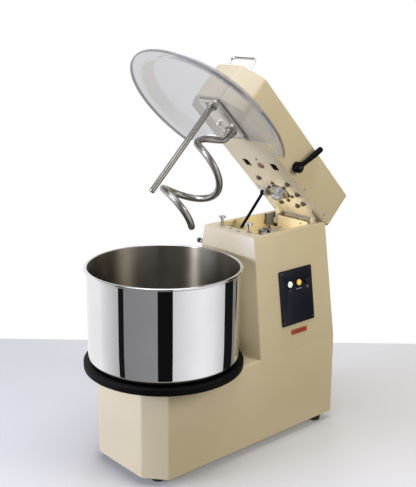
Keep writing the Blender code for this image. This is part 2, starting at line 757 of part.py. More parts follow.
def contact_block():
    """The switch block behind the panel, with a clear bore for each button's stem."""
    lean = side_slope()
    inward = 0.0185
    x = side_x(BUTTON_Z) - inward * cos(lean)
    z = BUTTON_Z - inward * sin(lean)
    block = box("contact_block", machine, black_plastic("contact_block"), (x - 0.0060, 0.330, z - 0.012),
                (x + 0.0060, 0.4255, z + 0.012), 0.001, (0, -lean, 0))
    for name, y, colour in BUTTONS:
        start = Vector((x - 0.02 * cos(lean), y, z - 0.02 * sin(lean)))
        bore = cylinder(name + "_bore", machine, None, 0.0055, start,
                        start + Vector((cos(lean), 0, sin(lean))) * 0.04, 12)
        cut(block, bore)
    return block


def badge_plate():
    mesh = plate_mesh([rounded_rectangle((-0.032, -0.0075), (0.032, 0.0075), 0.003)], 0.0015)
    item = finish("badge_plate", mesh, machine, material("badge_plate_red", (0.42, 0.07, 0.04), 0.35))
    return place_on_side(item, 0.374, 0.313, 0.00075 + GAP)


def control_box():
    """The starter and relay box inside the column's left side."""
    return box("control_box", machine, material("control_box_grey", (0.5, 0.5, 0.5), 0.6),
               (-0.1220, 0.300, 0.290), (-0.072, 0.420, 0.420), 0.003)


def cable_gland():
    """A mains inlet gland on the base's rear face, bored through for the lead."""
    x, z = GLAND
    y = rear_y(z - 0.012) + GAP
    body = cylinder("cable_gland", machine, black_plastic("cable_gland"), 0.012, (x, y, z),
                    (x, y + 0.006, z), 6)
    dome = cylinder("gland_dome", machine, None, 0.0095, (x, y + 0.005, z), (x, y + 0.018, z), 24)
    bore = cylinder("gland_bore", machine, None, 0.0050, (x, y - 0.01, z), (x, y + 0.03, z), 20)
    return cut(join(body, dome), bore)


def side_bumper():
    """A short round stop on the column's left front edge."""
    height = 0.540
    face = side_x(height)
    return cylinder("side_bumper", machine, steel("side_bumper", 0.4), 0.0070, (-face - 0.032, 0.244, height),
                    (-face - 0.0014, 0.244, height), 24)


# --------------------------------------------------------------------- head
def head_mesh(inset, floor, bend):
    outline = nose_outline(HEAD_HALF, HEAD_NOSE_HALF, HEAD_FRONT, HEAD_NOSE_LENGTH, HEAD_REAR, inset)
    mesh = plate_mesh([outline], HEAD_TOP - inset - floor)
    mesh.transform(Matrix.Translation((0, 0, (HEAD_TOP - inset + floor) / 2)))
    if bend:
        work = bmesh.new()
        work.from_mesh(mesh)
        round_edges(work, bend, floor)
        mesh = mesh_from(work)
    return mesh


def head_cover():
    cover = finish("head_cover", head_mesh(0, HEAD_BOTTOM, BEND), head, cream_paint("head_cover"), 40)
    hollow = finish("head_hollow", head_mesh(SHEET, HEAD_BOTTOM - 0.02, 0), head, None)
    hub_hole = cylinder("latch_hole", head, None, 0.0085, (0.08, LATCH_Y, LATCH_Z),
                        (0.12, LATCH_Y, LATCH_Z), 24)
    return cut(cover, hollow, hub_hole)


def head_underplate():
    """The head's floor, with the latch slots, the drive opening and the spiral's bore."""
    outline = nose_outline(HEAD_HALF, HEAD_NOSE_HALF, HEAD_FRONT, HEAD_NOSE_LENGTH, HEAD_REAR,
                           SHEET + 0.0005)
    holes = [circle((0, SPIRAL_Y), 0.022, 24), circle((0, DRIVE_Y), 0.0300, 32),
             circle((0, 0.2300), 0.0050, 16)]
    for sign in (-1, 1):
        holes.append(rounded_rectangle((sign * PIN_X - 0.0120, 0.2380), (sign * PIN_X + 0.0120, 0.2700),
                                       0.006))
    return slab("head_underplate", head, cream_paint("head_underplate"), [outline] + holes,
                UNDERPLATE_BOTTOM, UNDERPLATE_BOTTOM + 0.003)


def hinge_lug(name, side):
    """One of the head's two hinge lugs: a short barrel on the hinge shaft and an arm up to the floor."""
    barrel = cylinder(name, head, cream_paint(name), 0.0115, (side * 0.0500, HINGE_Y, HINGE_Z),
                      (side * 0.0800, HINGE_Y, HINGE_Z), 32)
    outline = [(0.4955, 0.5660), (0.5035, 0.5770), (0.4850, 0.5955), (0.4850, UNDERPLATE_BOTTOM - GAP),
               (0.4450, UNDERPLATE_BOTTOM - GAP), (0.4450, 0.5965), (0.4700, 0.5945)]
    inner, outer = side * 0.0620, side * 0.0780
    arm = side_slab(name + "_arm", head, None, [outline], min(inner, outer), max(inner, outer))
    bore = cylinder(name + "_bore", head, None, 0.0073, (-0.09, HINGE_Y, HINGE_Z), (0.09, HINGE_Y, HINGE_Z))
    return cut(join(barrel, arm), bore)


def lid():
    """A clear spun cover: flat top, sloping skirt, flange and a short turned-down rim."""
    top = HEAD_BOTTOM - GAP
    t = LID_SHEET
    flange = LID_RIM + 0.0065
    profile = [(0, top), (0.184, top), (0.190, top - 0.003), (0.2045, flange + 0.0030),
               (0.2085, flange), (LID_RADIUS - 0.002, flange), (LID_RADIUS, flange - 0.0020),
               (LID_RADIUS, LID_RIM), (LID_RADIUS - t, LID_RIM), (LID_RADIUS - t, flange - t),
               (0.2070, flange - t), (0.2020, flange + 0.0020 - t / 2), (0.1875, top - 0.003 - t / 2),
               (0.182, top - t), (0, top - t)]
    cover = turned("lid", head, clear_plastic("lid"), profile, (0, 0), 48, False)
    chord = box("lid_chord", head, None, (-0.3, LID_REAR, 0.5), (0.3, 0.4, 0.7))
    spiral_hole = cylinder("lid_spiral_hole", head, None, 0.022, (0, SPIRAL_Y, 0.58), (0, SPIRAL_Y, 0.62), 32)
    return cut(cover, chord, spiral_hole)


def spiral_mounting_plate():
    top = HEAD_BOTTOM - GAP - LID_SHEET - GAP
    outlines = [rounded_rectangle((-0.0390, -0.0240), (0.0390, 0.1225), 0.014),
                circle((0, SPIRAL_Y), 0.0165, 32)]
    return slab("spiral_mounting_plate", head, steel("spiral_mounting_plate", 0.35), outlines,
                top - 0.005, top)


def breaker_bar():
    """The fixed bar that splits the dough, hung at the bowl's axis."""
    top = HEAD_BOTTOM - 3 * GAP - LID_SHEET - 0.005
    profile = [(0, top), (0.0140, top), (0.0140, top - 0.005), (0.0075, top - 0.006), (0.0075, 0.3120),
               (0.0060, 0.3090), (0, 0.3090)]
    return turned("breaker_bar", head, steel("breaker_bar"), profile, (0, 0), 20, False)


def spiral_bearing_housing():
    floor = UNDERPLATE_BOTTOM + 0.003 + GAP
    profile = [(0.030, 0.6600), (0.030, floor + 0.008), (0.045, floor + 0.006), (0.045, floor),
               (0.0128, floor), (0.0128, 0.6600)]
    return turned("spiral_bearing_housing", head, cast_metal("spiral_bearing_housing"), profile,
                  (0, SPIRAL_Y), 24)


def spiral_point(turn):
    """The hook's centre line: a left-hand coil that winds down and grows a little wider."""
    share = turn / SPIRAL_TURNS
    angle = radians(SPIRAL_START + 360 * turn)
    radius = SPIRAL_RADIUS + SPIRAL_GROWTH * share
    height = SPIRAL_TOP - SPIRAL_DROP * (1 - (1 - 0.97 * share) ** 1.19)
    return (radius * cos(angle), SPIRAL_Y + radius * sin(angle), height)


def spiral_lead_in(share):
    """From the shaft's end out to the first coil, swinging smoothly to its radius."""
    ease = share * share * (3 - 2 * share)
    angle = radians(SPIRAL_START - 59 * (1 - share) ** 1.5)
    height = 0.566 - 0.061 * (share * 0.45 + share * share * 0.55)
    radius = SPIRAL_RADIUS * ease
    return (radius * cos(angle), SPIRAL_Y + radius * sin(angle), height)


def spiral_hook():
    points = [(0, SPIRAL_Y, 0.590), (0, SPIRAL_Y, 0.576)]
    points += [spiral_lead_in(i / 7) for i in range(7)]
    points += [spiral_point(SPIRAL_TURNS * i / 24) for i in range(25)]
    hook = rod("spiral_hook", spiral_axis, polished_steel("spiral_hook"), points, SPIRAL_ROD, 3)
    shaft = turned("spiral_shaft", spiral_axis, None,
                   [(0, 0.6850), (0.0125, 0.6850), (0.0125, 0.5800), (0.0105, 0.5740), (0, 0.5740)],
                   (0, SPIRAL_Y), 24, False)
    return join(hook, shaft)


def head_drive_shaft():
    """The head's input shaft with the upper half of the drive coupling at its foot."""
    profile = [(0, 0.6850), (0.010, 0.6850), (0.010, 0.6045), (0.026, 0.6045), (0.026, 0.5945),
               (0.0150, 0.5945), (0.0150, 0.5790), (0, 0.5790)]
    shaft = turned("head_drive_shaft", head_drive_axis, steel("head_drive_shaft"), profile, (0, DRIVE_Y),
                   24, False)
    tongue = box("coupling_tongue", head_drive_axis, None, (-0.0140, DRIVE_Y - 0.0045, 0.5720),
                 (0.0140, DRIVE_Y + 0.0045, 0.5800))
    return join(shaft, tongue)


def head_drive_bearing():
    floor = UNDERPLATE_BOTTOM + 0.003 + GAP
    profile = [(0.034, 0.6600), (0.034, floor + 0.008), (0.046, floor + 0.006), (0.046, floor),
               (0.033, floor), (0.033, 0.612), (0.0104, 0.614), (0.0104, 0.6600)]
    return turned("head_drive_bearing", head, cast_metal("head_drive_bearing"), profile, (0, DRIVE_Y), 24)


def latch_shaft():
    """The cross shaft with the two hooks that catch under the latch pins' heads."""
    shaft = cylinder("latch_shaft", latch_axis, steel("latch_shaft"), 0.0060, (-0.0900, LATCH_Y, LATCH_Z),
                     (0.1003, LATCH_Y, LATCH_Z), 24)
    for i, x in enumerate((-PIN_X, PIN_X)):
        latched = [(-0.0172, -0.0160), (-0.0060, -0.0145), (0.0060, 0), (0, 0.0085), (-0.0075, 0),
                   (-0.0110, -0.0120), (-0.0172, -0.0120)]
        turn = radians(25)
        outline = [(LATCH_Y + y * cos(turn) - z * sin(turn), LATCH_Z + y * sin(turn) + z * cos(turn))
                   for y, z in latched]
        join(shaft, side_slab("latch_hook_%d" % i, latch_axis, None, [outline], x - 0.0035, x + 0.0035))
    return shaft


def latch_lever():
    """The black hand lever on the head's right side."""
    hub = cylinder("latch_lever", latch_axis, black_plastic("latch_lever"), 0.0150, (0.1006, LATCH_Y, LATCH_Z),
                   (0.1180, LATCH_Y, LATCH_Z), 32)
    points = [(0.1120, LATCH_Y - 0.006, LATCH_Z - 0.010), (0.1130, LATCH_Y + 0.004, LATCH_Z + 0.015),
              (0.1160, LATCH_Y + 0.010, LATCH_Z + 0.036), (0.1190, LATCH_Y + 0.016, LATCH_Z + 0.060),
              (0.1200, LATCH_Y + 0.022, LATCH_Z + 0.084)]
    arm = rod("lever_arm", latch_axis, None, points, 0.0080, 4)
    return join(hub, arm)


def lift_handle():
    """A wire loop on top of the head's nose."""
    y, half, top, corner = -0.004, 0.045, HEAD_TOP + 0.0455, 0.012
    points = [(-half, y, HEAD_TOP + GAP)]
    points += [(-half + corner - corner * cos(a), y, top - corner + corner * sin(a))
               for a in (0, pi / 8, pi / 4, 3 * pi / 8, pi / 2)]
    points += [(-x, py, z) for x, py, z in reversed(points)]
    return rod("lift_handle", head, polished_steel("lift_handle"), points, 0.0036, 3)


def closing_bumper():
    """The rubber buffer behind the latch slots that meets the deck."""
    top = UNDERPLATE_BOTTOM - GAP
    profile = [(0, top), (0.0105, top), (0.0105, top - 0.002), (0.0085, top - 0.0038), (0, top - 0.0038)]
    return turned("closing_bumper", head, material("closing_bumper_brown", (0.30, 0.18, 0.09), 0.7), profile,
                  (0, 0.2555), 16, False)


def strut_upper_bracket():
    """The tab under the head that the gas strut pushes on."""
    top = UNDERPLATE_BOTTOM - GAP
    y, z = STRUT_HIGH
    outline = [(y - 0.014, top), (y - 0.009, z - 0.006), (y + 0.009, z - 0.006), (y + 0.020, top)]
    near = STRUT_X + 0.0120
    web = side_slab("strut_upper_bracket", head, steel("strut_upper_bracket", 0.5), [outline], near,
                    near + 0.004)
    foot_plate = box("strut_bracket_foot", head, None, (near, y - 0.018, top - 0.004),
                     (near + 0.014, y + 0.024, top))
    return join(web, foot_plate)


# ----------------------------------------------------------------- assembly
machine = frame("machine", None, (0, 0, 0))
machine.location = (0, BOWL_AXIS_Y, 0)
bowl_axis = frame("bowl_axis", machine, (0, 0, BOWL_FLOOR))
drive_axis = frame("drive_axis", machine, (0, DRIVE_Y, 0.2))
head = frame("head_hinge", machine, (0, HINGE_Y, HINGE_Z), (-OPEN_ANGLE, 0, 0))
spiral_axis = frame("spiral_axis", head, (0, SPIRAL_Y, HEAD_BOTTOM))
head_drive_axis = frame("head_drive_axis", head, (0, DRIVE_Y, HEAD_BOTTOM))
latch_axis = frame("latch_axis", head, (0, LATCH_Y, LATCH_Z))
strut_pivot = frame("strut_pivot", machine, (STRUT_X, *STRUT_LOW))
strut_slide = frame("strut_slide", strut_pivot, (STRUT_X, *STRUT_LOW))

body_shell()
rear_panel()
base_plate()
for name, x, y in (("foot_front_left", -0.092, -0.095), ("foot_front_right", 0.092, -0.095),
                   ("foot_rear_left", -0.122, 0.480), ("foot_rear_right", 0.122, 0.480)):
    foot(name, x, y)
bowl_bearing_housing()
bowl_shaft()
bowl_sprocket()
turntable_ring()
bowl()
motor()
motor_fan_cover()
gearbox()
motor_bracket()
drive_shaft()
lower_coupling()
sprocket("drive_sprocket", drive_axis, DRIVE_TEETH, (0, DRIVE_Y), BOWL_CHAIN_Z, 0.0093)
chain("bowl_chain", (0, 0), BOWL_TEETH, (0, DRIVE_Y), DRIVE_TEETH, BOWL_CHAIN_Z, machine, 44)
hinge_bracket("hinge_bracket_left", -1)
hinge_bracket("hinge_bracket_right", 1)
hinge_cross_plate()
hinge_shaft()
latch_pin("latch_pin_left", -PIN_X)
latch_pin("latch_pin_right", PIN_X)
switch_bracket()
head_switch()
strut_lower_bracket()
strut_rod()
strut_cylinder()
control_panel()
for name, y, colour in BUTTONS:
    button_frame = frame(name + "_guide", machine, (side_x(BUTTON_Z), y, BUTTON_Z))
    push_button(name, y, colour, button_frame)
contact_block()
badge_plate()
control_box()
cable_gland()
side_bumper()
head_cover()
head_underplate()
hinge_lug("hinge_lug_left", -1)
hinge_lug("hinge_lug_right", 1)
lid()
spiral_mounting_plate()
breaker_bar()
spiral_bearing_housing()
spiral_hook()
sprocket("spiral_sprocket", spiral_axis, HEAD_TEETH, (0, SPIRAL_Y), HEAD_CHAIN_Z, 0.0128)
head_drive_shaft()
head_drive_bearing()
sprocket("head_drive_sprocket", head_drive_axis, HEAD_TEETH, (0, DRIVE_Y), HEAD_CHAIN_Z, 0.0103)
chain("head_chain", (0, SPIRAL_Y), HEAD_TEETH, (0, DRIVE_Y), HEAD_TEETH, HEAD_CHAIN_Z, head, 24)
latch_shaft()
latch_lever()
lift_handle()
closing_bumper()
strut_upper_bracket()
bpy.context.view_layer.update()
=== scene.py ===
"""Looks of the spiral dough mixer: finishes, fine pieces, floor, light and camera."""
import json
from math import atan2, cos, pi, radians, sin

import bmesh
import bpy
from mathutils import Matrix, Vector


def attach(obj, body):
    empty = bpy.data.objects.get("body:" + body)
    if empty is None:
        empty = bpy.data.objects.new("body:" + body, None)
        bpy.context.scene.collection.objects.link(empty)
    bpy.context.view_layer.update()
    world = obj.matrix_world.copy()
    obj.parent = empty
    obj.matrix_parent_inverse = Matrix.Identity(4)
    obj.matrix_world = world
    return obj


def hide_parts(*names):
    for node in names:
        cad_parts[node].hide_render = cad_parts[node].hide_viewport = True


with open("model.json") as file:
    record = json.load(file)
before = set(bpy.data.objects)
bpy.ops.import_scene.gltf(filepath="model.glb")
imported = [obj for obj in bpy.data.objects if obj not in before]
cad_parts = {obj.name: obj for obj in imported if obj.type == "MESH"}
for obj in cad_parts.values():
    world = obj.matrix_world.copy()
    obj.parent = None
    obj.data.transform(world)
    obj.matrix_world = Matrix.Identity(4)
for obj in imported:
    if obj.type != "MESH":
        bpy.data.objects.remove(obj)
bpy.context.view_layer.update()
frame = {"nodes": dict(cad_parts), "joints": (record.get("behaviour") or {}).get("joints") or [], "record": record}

scene = bpy.context.scene
JOINTS = {joint["name"]: joint for joint in frame["joints"]}
BOWL_AXIS = Vector(JOINTS["bowl_spin"]["pos_m"])
HINGE = Vector(JOINTS["head_tilt"]["pos_m"])
OPEN = radians(45)

# Pieces are laid out from the bowl's axis with the head shut, as the CAD is.
STAND = Matrix.Translation((0, BOWL_AXIS.y, 0))
HEAD = (Matrix.Translation(HINGE) @ Matrix.Rotation(-OPEN, 4, "X")
        @ Matrix.Translation(-HINGE) @ STAND)


# Places and sizes that several pieces share, in metres, in that same layout.
GAP = 0.0003                          # clearance between pieces
DECK = 0.5970                         # top of the column
HINGE_Y, HINGE_Z = 0.500, 0.573
LATCH_Y, LATCH_Z = 0.276, 0.630
PIN_X, PIN_Y = 0.054, 0.254           # latch pins
SPIRAL_Y = 0.100                      # the spiral's axis
DRIVE_Y = 0.375                       # the drive shaft's axis
LID_TOP, LID_WALL = 0.6012, 0.0027
BUTTON_Y, BUTTON_Z = (0.345, 0.381, 0.416), 0.449
SIDE_IN, SIDE_RISE = 0.0485, 0.333    # how far the column's sides lean in, over what height
REAR_IN, REAR_RISE = 0.0085, 0.573    # and its rear
SIDE_LEAN, REAR_LEAN = atan2(SIDE_IN, SIDE_RISE), atan2(REAR_IN, REAR_RISE)
DOWN = (0, 0, -1)


# ================================================================ materials
def nodes_of(name):
    made = bpy.data.materials.new(name)
    made.use_nodes = True
    tree = made.node_tree
    return made, tree, tree.nodes["Principled BSDF"]


def place_of(tree, stretch=(1, 1, 1)):
    """Object coordinates, stretched, so that grain keeps its real size."""
    where = tree.nodes.new("ShaderNodeTexCoord")
    mapping = tree.nodes.new("ShaderNodeMapping")
    mapping.inputs["Scale"].default_value = stretch
    tree.links.new(where.outputs["Object"], mapping.inputs["Vector"])
    return mapping.outputs["Vector"]


def noise(tree, scale, detail, stretch=(1, 1, 1)):
    made = tree.nodes.new("ShaderNodeTexNoise")
    made.inputs["Scale"].default_value = scale
    made.inputs["Detail"].default_value = detail
    tree.links.new(place_of(tree, stretch), made.inputs["Vector"])
    return made.outputs["Fac"]


def ramp(tree, source, low, high):
    """Colours or greys between two values, over the middle of the source's range."""
    made = tree.nodes.new("ShaderNodeValToRGB")
    for element, position, value in zip(made.color_ramp.elements, (0.3, 0.7), (low, high)):
        element.position = position
        element.color = (*value, 1.0) if isinstance(value, tuple) else (value, value, value, 1.0)
    tree.links.new(source, made.inputs["Fac"])
    return made.outputs["Color"]


def add_bump(tree, shader, source, distance, strength):
    bump = tree.nodes.new("ShaderNodeBump")
    bump.inputs["Strength"].default_value = strength
    bump.inputs["Distance"].default_value = distance
    tree.links.new(source, bump.inputs["Height"])
    tree.links.new(bump.outputs["Normal"], shader.inputs["Normal"])


def paint(name, low, high, rough=(0.30, 0.42), peel=0.00012):
    """Powder coat: a faint orange-peel skin and slow changes of tone."""
    made, tree, shader = nodes_of(name)
    tree.links.new(ramp(tree, noise(tree, 9, 4), low, high), shader.inputs["Base Color"])
    tree.links.new(ramp(tree, noise(tree, 60, 3), rough[0], rough[1]), shader.inputs["Roughness"])
    add_bump(tree, shader, noise(tree, 700, 2), peel, 0.35)
    shader.inputs["Specular IOR Level"].default_value = 0.45
    shader.inputs["Coat Weight"].default_value = 0.12
    shader.inputs["Coat Roughness"].default_value = 0.22
    return made


def metal(name, low, high, rough, stretch=(1, 1, 1), scale=300, depth=0.00004, strength=0.3, turned=0.0):
    """Bare metal whose grain runs along the axis with the smallest stretch; turned draws out its gloss."""
    made, tree, shader = nodes_of(name)
    shader.inputs["Metallic"].default_value = 1.0
    shader.inputs["Anisotropic"].default_value = turned
    shader.inputs["Anisotropic Rotation"].default_value = 0.25
    tree.links.new(ramp(tree, noise(tree, 14, 5), low, high), shader.inputs["Base Color"])
    tree.links.new(ramp(tree, noise(tree, scale * 0.6, 4, stretch), rough[0], rough[1]),
                   shader.inputs["Roughness"])
    add_bump(tree, shader, noise(tree, scale, 3, stretch), depth, strength)
    return made


def plastic(name, low, high, rough=(0.35, 0.5), grain=900, depth=0.0001, specular=0.5):
    """Moulded plastic or rubber with a fine spark-eroded grain."""
    made, tree, shader = nodes_of(name)
    tree.links.new(ramp(tree, noise(tree, 25, 3), low, high), shader.inputs["Base Color"])
    tree.links.new(ramp(tree, noise(tree, 120, 3), rough[0], rough[1]), shader.inputs["Roughness"])
    add_bump(tree, shader, noise(tree, grain, 2), depth, 0.3)
    shader.inputs["Specular IOR Level"].default_value = specular
    return made


def clear_sheet(name):
    """Vacuum-formed polycarbonate, slightly grey, with a faint unevenness."""
    made, tree, shader = nodes_of(name)
    tree.links.new(ramp(tree, noise(tree, 5, 3), (0.300, 0.298, 0.298), (0.340, 0.338, 0.338)),
                   shader.inputs["Base Color"])
    tree.links.new(ramp(tree, noise(tree, 40, 5, (1, 6, 1)), 0.05, 0.14), shader.inputs["Roughness"])
    add_bump(tree, shader, noise(tree, 120, 2, (1, 3, 1)), 0.00001, 0.12)
    shader.inputs["Alpha"].default_value = 0.32
    shader.inputs["IOR"].default_value = 1.58
    return made


def lid_edge_painted_shade(name):
    """The lid's thick rolled rim, where the sheet is seen edge on and looks darker; that darker, purple-grey
    colour is painted shade and a painted reflection.
    """
    made, tree, shader = nodes_of(name)
    # Base colour: painted shade and a painted purple-grey reflection for the rim seen edge on.
    tree.links.new(ramp(tree, noise(tree, 8, 3), (0.090, 0.085, 0.105), (0.120, 0.115, 0.135)),
                   shader.inputs["Base Color"])
    tree.links.new(ramp(tree, noise(tree, 40, 5, (1, 6, 1)), 0.08, 0.16), shader.inputs["Roughness"])
    shader.inputs["Alpha"].default_value = 0.55
    shader.inputs["IOR"].default_value = 1.58
    return made


def lit_lens(name, colour, glow):
    made, tree, shader = nodes_of(name)
    tree.links.new(ramp(tree, noise(tree, 300, 2), tuple(c * 0.92 for c in colour), colour),
                   shader.inputs["Base Color"])
    tree.links.new(ramp(tree, noise(tree, 500, 2), 0.12, 0.2), shader.inputs["Roughness"])
    shader.inputs["Emission Color"].default_value = (*colour, 1.0)
    shader.inputs["Emission Strength"].default_value = glow
    return made


CREAM = paint("cream_powder_coat", (0.690, 0.600, 0.405), (0.715, 0.625, 0.428))
MIRROR = metal("polished_bowl_steel", (0.80, 0.80, 0.81), (0.84, 0.84, 0.85), (0.020, 0.040),
               (0.15, 0.15, 6), 120, 0.000004, 0.04)
# The bowl's inside: base colour darkened far below bare steel, painted shade for the shaded inside of the bowl.
BRUSHED_PAINTED_SHADE = metal("brushed_bowl_inside_painted_shade", (0.225, 0.205, 0.172), (0.270, 0.248, 0.212), (0.31, 0.38),
                (0.12, 0.12, 7), 220, 0.00001, 0.10, 0.95)
FORGED = metal("forged_hook_steel", (0.33, 0.315, 0.285), (0.37, 0.355, 0.325), (0.26, 0.33),
               (1, 1, 0.2), 320)
# Base colour: the steel's own grey, made lighter and warm as a painted reflection of the cream paint.
SHEET_PAINTED_REFLECTION = metal("sheet_steel_painted_cream_reflection", (0.60, 0.58, 0.54), (0.66, 0.64, 0.60), (0.36, 0.44), (1, 0.3, 1), 320)
CHROME = metal("bright_chrome", (0.72, 0.73, 0.75), (0.80, 0.81, 0.83), (0.06, 0.12), (1, 1, 1), 200, 0.00001)
ZINC = metal("zinc_plated_steel", (0.52, 0.53, 0.54), (0.66, 0.67, 0.68), (0.28, 0.42), (1, 1, 1), 260)
DARK_STEEL = metal("oiled_dark_steel", (0.10, 0.10, 0.10), (0.20, 0.195, 0.19), (0.35, 0.5), (1, 1, 1), 260)
CAST = paint("cast_grey_enamel", (0.16, 0.17, 0.18), (0.22, 0.23, 0.24), (0.45, 0.65), 0.0006)
ALLOY = metal("die_cast_alloy", (0.42, 0.43, 0.44), (0.56, 0.57, 0.58), (0.38, 0.55), (1, 1, 1), 500, 0.0002)
BLACK = plastic("black_moulding", (0.0020, 0.0020, 0.0022), (0.0034, 0.0034, 0.0037), (0.46, 0.56),
                specular=0.07)
RUBBER = plastic("black_rubber_skin", (0.012, 0.012, 0.012), (0.022, 0.021, 0.020), (0.6, 0.8), 500, 0.0002)
BROWN = plastic("brown_buffer_rubber", (0.20, 0.095, 0.040), (0.28, 0.14, 0.06), (0.5, 0.7), 500, 0.0002)
GREY = plastic("grey_housing", (0.42, 0.42, 0.40), (0.48, 0.48, 0.46))
NAVY = plastic("navy_panel_film", (0.0085, 0.0100, 0.0190), (0.0115, 0.0135, 0.0250), (0.36, 0.44),
               1100, 0.00005, 0.22)
PRINT = plastic("pale_print", (0.50, 0.52, 0.55), (0.58, 0.60, 0.62))
BADGE = plastic("badge_red_film", (0.33, 0.050, 0.025), (0.40, 0.070, 0.035), (0.25, 0.35))
BADGE_EDGE = plastic("badge_pale_line", (0.62, 0.36, 0.26), (0.70, 0.42, 0.32), (0.25, 0.35))
LID = clear_sheet("clear_grey_polycarbonate")
LID_RIM_PAINTED_SHADE = lid_edge_painted_shade("polycarbonate_edge_painted_shade")
LIT_WHITE = lit_lens("lit_white_lens", (0.80, 0.95, 0.84), 0.45)
LIT_AMBER = lit_lens("lit_amber_lens", (0.95, 0.62, 0.16), 0.35)
DARK_LENS = plastic("dark_lens", (0.020, 0.022, 0.032), (0.030, 0.032, 0.044), (0.12, 0.2))

FINISH = {"cream_paint": CREAM, "steel": ZINC, "polished_steel": CHROME, "dark_steel": DARK_STEEL,
          "cast_metal": CAST, "aluminium": ALLOY, "black_plastic": BLACK, "black_rubber": RUBBER,
          "brown_rubber": BROWN, "clear_plastic": LID, "panel_navy": NAVY, "badge_red": BADGE,
          "grey_plastic": GREY, "start_lens": LIT_WHITE, "stop_lens": LIT_AMBER}


# ============================================================ CAD carry-over
def smoothing_group():
    """Shades rounded bends smooth and keeps real corners sharp."""
    group = bpy.data.node_groups.new("smooth_bends", "GeometryNodeTree")
    group.interface.new_socket("Geometry", in_out="INPUT", socket_type="NodeSocketGeometry")
    group.interface.new_socket("Geometry", in_out="OUTPUT", socket_type="NodeSocketGeometry")
    source = group.nodes.new("NodeGroupInput")
    result = group.nodes.new("NodeGroupOutput")
    weld = group.nodes.new("GeometryNodeMergeByDistance")
    weld.inputs["Distance"].default_value = 0.000004
    smooth = group.nodes.new("GeometryNodeSetShadeSmooth")
    sharpen = group.nodes.new("GeometryNodeSetShadeSmooth")
    sharpen.domain = "EDGE"
    sharpen.inputs["Shade Smooth"].default_value = False
    angle = group.nodes.new("GeometryNodeInputMeshEdgeAngle")
    compare = group.nodes.new("FunctionNodeCompare")
    compare.inputs["B"].default_value = radians(38)
    links = group.links
    links.new(source.outputs[0], weld.inputs["Geometry"])
    links.new(weld.outputs["Geometry"], smooth.inputs["Geometry"])
    links.new(smooth.outputs["Geometry"], sharpen.inputs["Geometry"])
    links.new(angle.outputs["Unsigned Angle"], compare.inputs["A"])
    links.new(compare.outputs["Result"], sharpen.inputs["Selection"])
    links.new(sharpen.outputs["Geometry"], result.inputs[0])
    return group


def finish_cad_nodes():
    group = smoothing_group()
    slots = {part["node"]: part["material_slot"] for part in frame["record"]["subparts"]}
    for name, item in frame["nodes"].items():
        item.data.materials.clear()
        item.data.materials.append(FINISH[slots[name]])
        item.modifiers.new("smooth_bends", "NODES").node_group = group


# ============================================================ mesh builders
def add(name, mesh, body, surfaces, where=STAND, stands_for=(), smooth=35):
    """Put a mesh at its place, give it its finish and let it ride on its body."""
    if not isinstance(surfaces, (tuple, list)):
        surfaces = (surfaces,)
    numbers = [face.material_index for face in mesh.polygons]
    mesh.materials.clear()
    for surface in surfaces:
        mesh.materials.append(surface)
    mesh.polygons.foreach_set("material_index", numbers)
    mesh.transform(where)
    mesh.name = name
    item = bpy.data.objects.new(name, mesh)
    scene.collection.objects.link(item)
    mesh.shade_smooth()
    mesh.set_sharp_from_angle(angle=radians(smooth))
    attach(item, body)
    if stands_for:
        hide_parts(*stands_for)
    return item


def to_mesh(work, turn_outward=True):
    """The mesh that a bmesh holds, which is then freed."""
    if turn_outward:
        bmesh.ops.recalc_face_normals(work, faces=work.faces)
    mesh = bpy.data.meshes.new("mesh")
    work.to_mesh(mesh)
    work.free()
    return mesh


def merged(*meshes):
    """One mesh made of several."""
    work = bmesh.new()
    for mesh in meshes:
        work.from_mesh(mesh)
        bpy.data.meshes.remove(mesh)
    return to_mesh(work, turn_outward=False)


def at(x, y, z):
    return Matrix.Translation((x, y, z))


def moved(mesh, *steps):
    for step in steps:
        mesh.transform(step)
    return mesh


def lathe(profile, steps=96, slots=None):
    """A closed body from (radius, height) points running down the outside; ends may be on the axis."""
    work = bmesh.new()
    rings = []
    for radius, height in profile:
        if radius < 1e-7:
            rings.append([work.verts.new((0, 0, height))])
        else:
            rings.append([work.verts.new((radius * cos(2 * pi * i / steps), radius * sin(2 * pi * i / steps),
                                          height)) for i in range(steps)])
    pairs = list(zip(rings, rings[1:]))
    if profile[0][0] > 1e-7:
        pairs.append((rings[-1], rings[0]))
    for number, (a, b) in enumerate(pairs):
        for i in range(steps):
            j = (i + 1) % steps
            corners = [a[i % len(a)], a[j % len(a)], b[j % len(b)], b[i % len(b)]]
            face = work.faces.new(list(dict.fromkeys(corners)))
            if slots:
                face.material_index = slots[number]
    return to_mesh(work)


def arc(centre, radius, start, end, count=6):
    """Points of an arc in the profile plane, from one angle to another in degrees."""
    return [(centre[0] + radius * cos(radians(start + (end - start) * i / count)),
             centre[1] + radius * sin(radians(start + (end - start) * i / count)))
            for i in range(count + 1)]


def axis_matrix(start, end):
    """Turns +Z at the origin to run from start towards end."""
    start, end = Vector(start), Vector(end)
    return Matrix.Translation(start) @ (end - start).to_track_quat("Z", "Y").to_matrix().to_4x4()


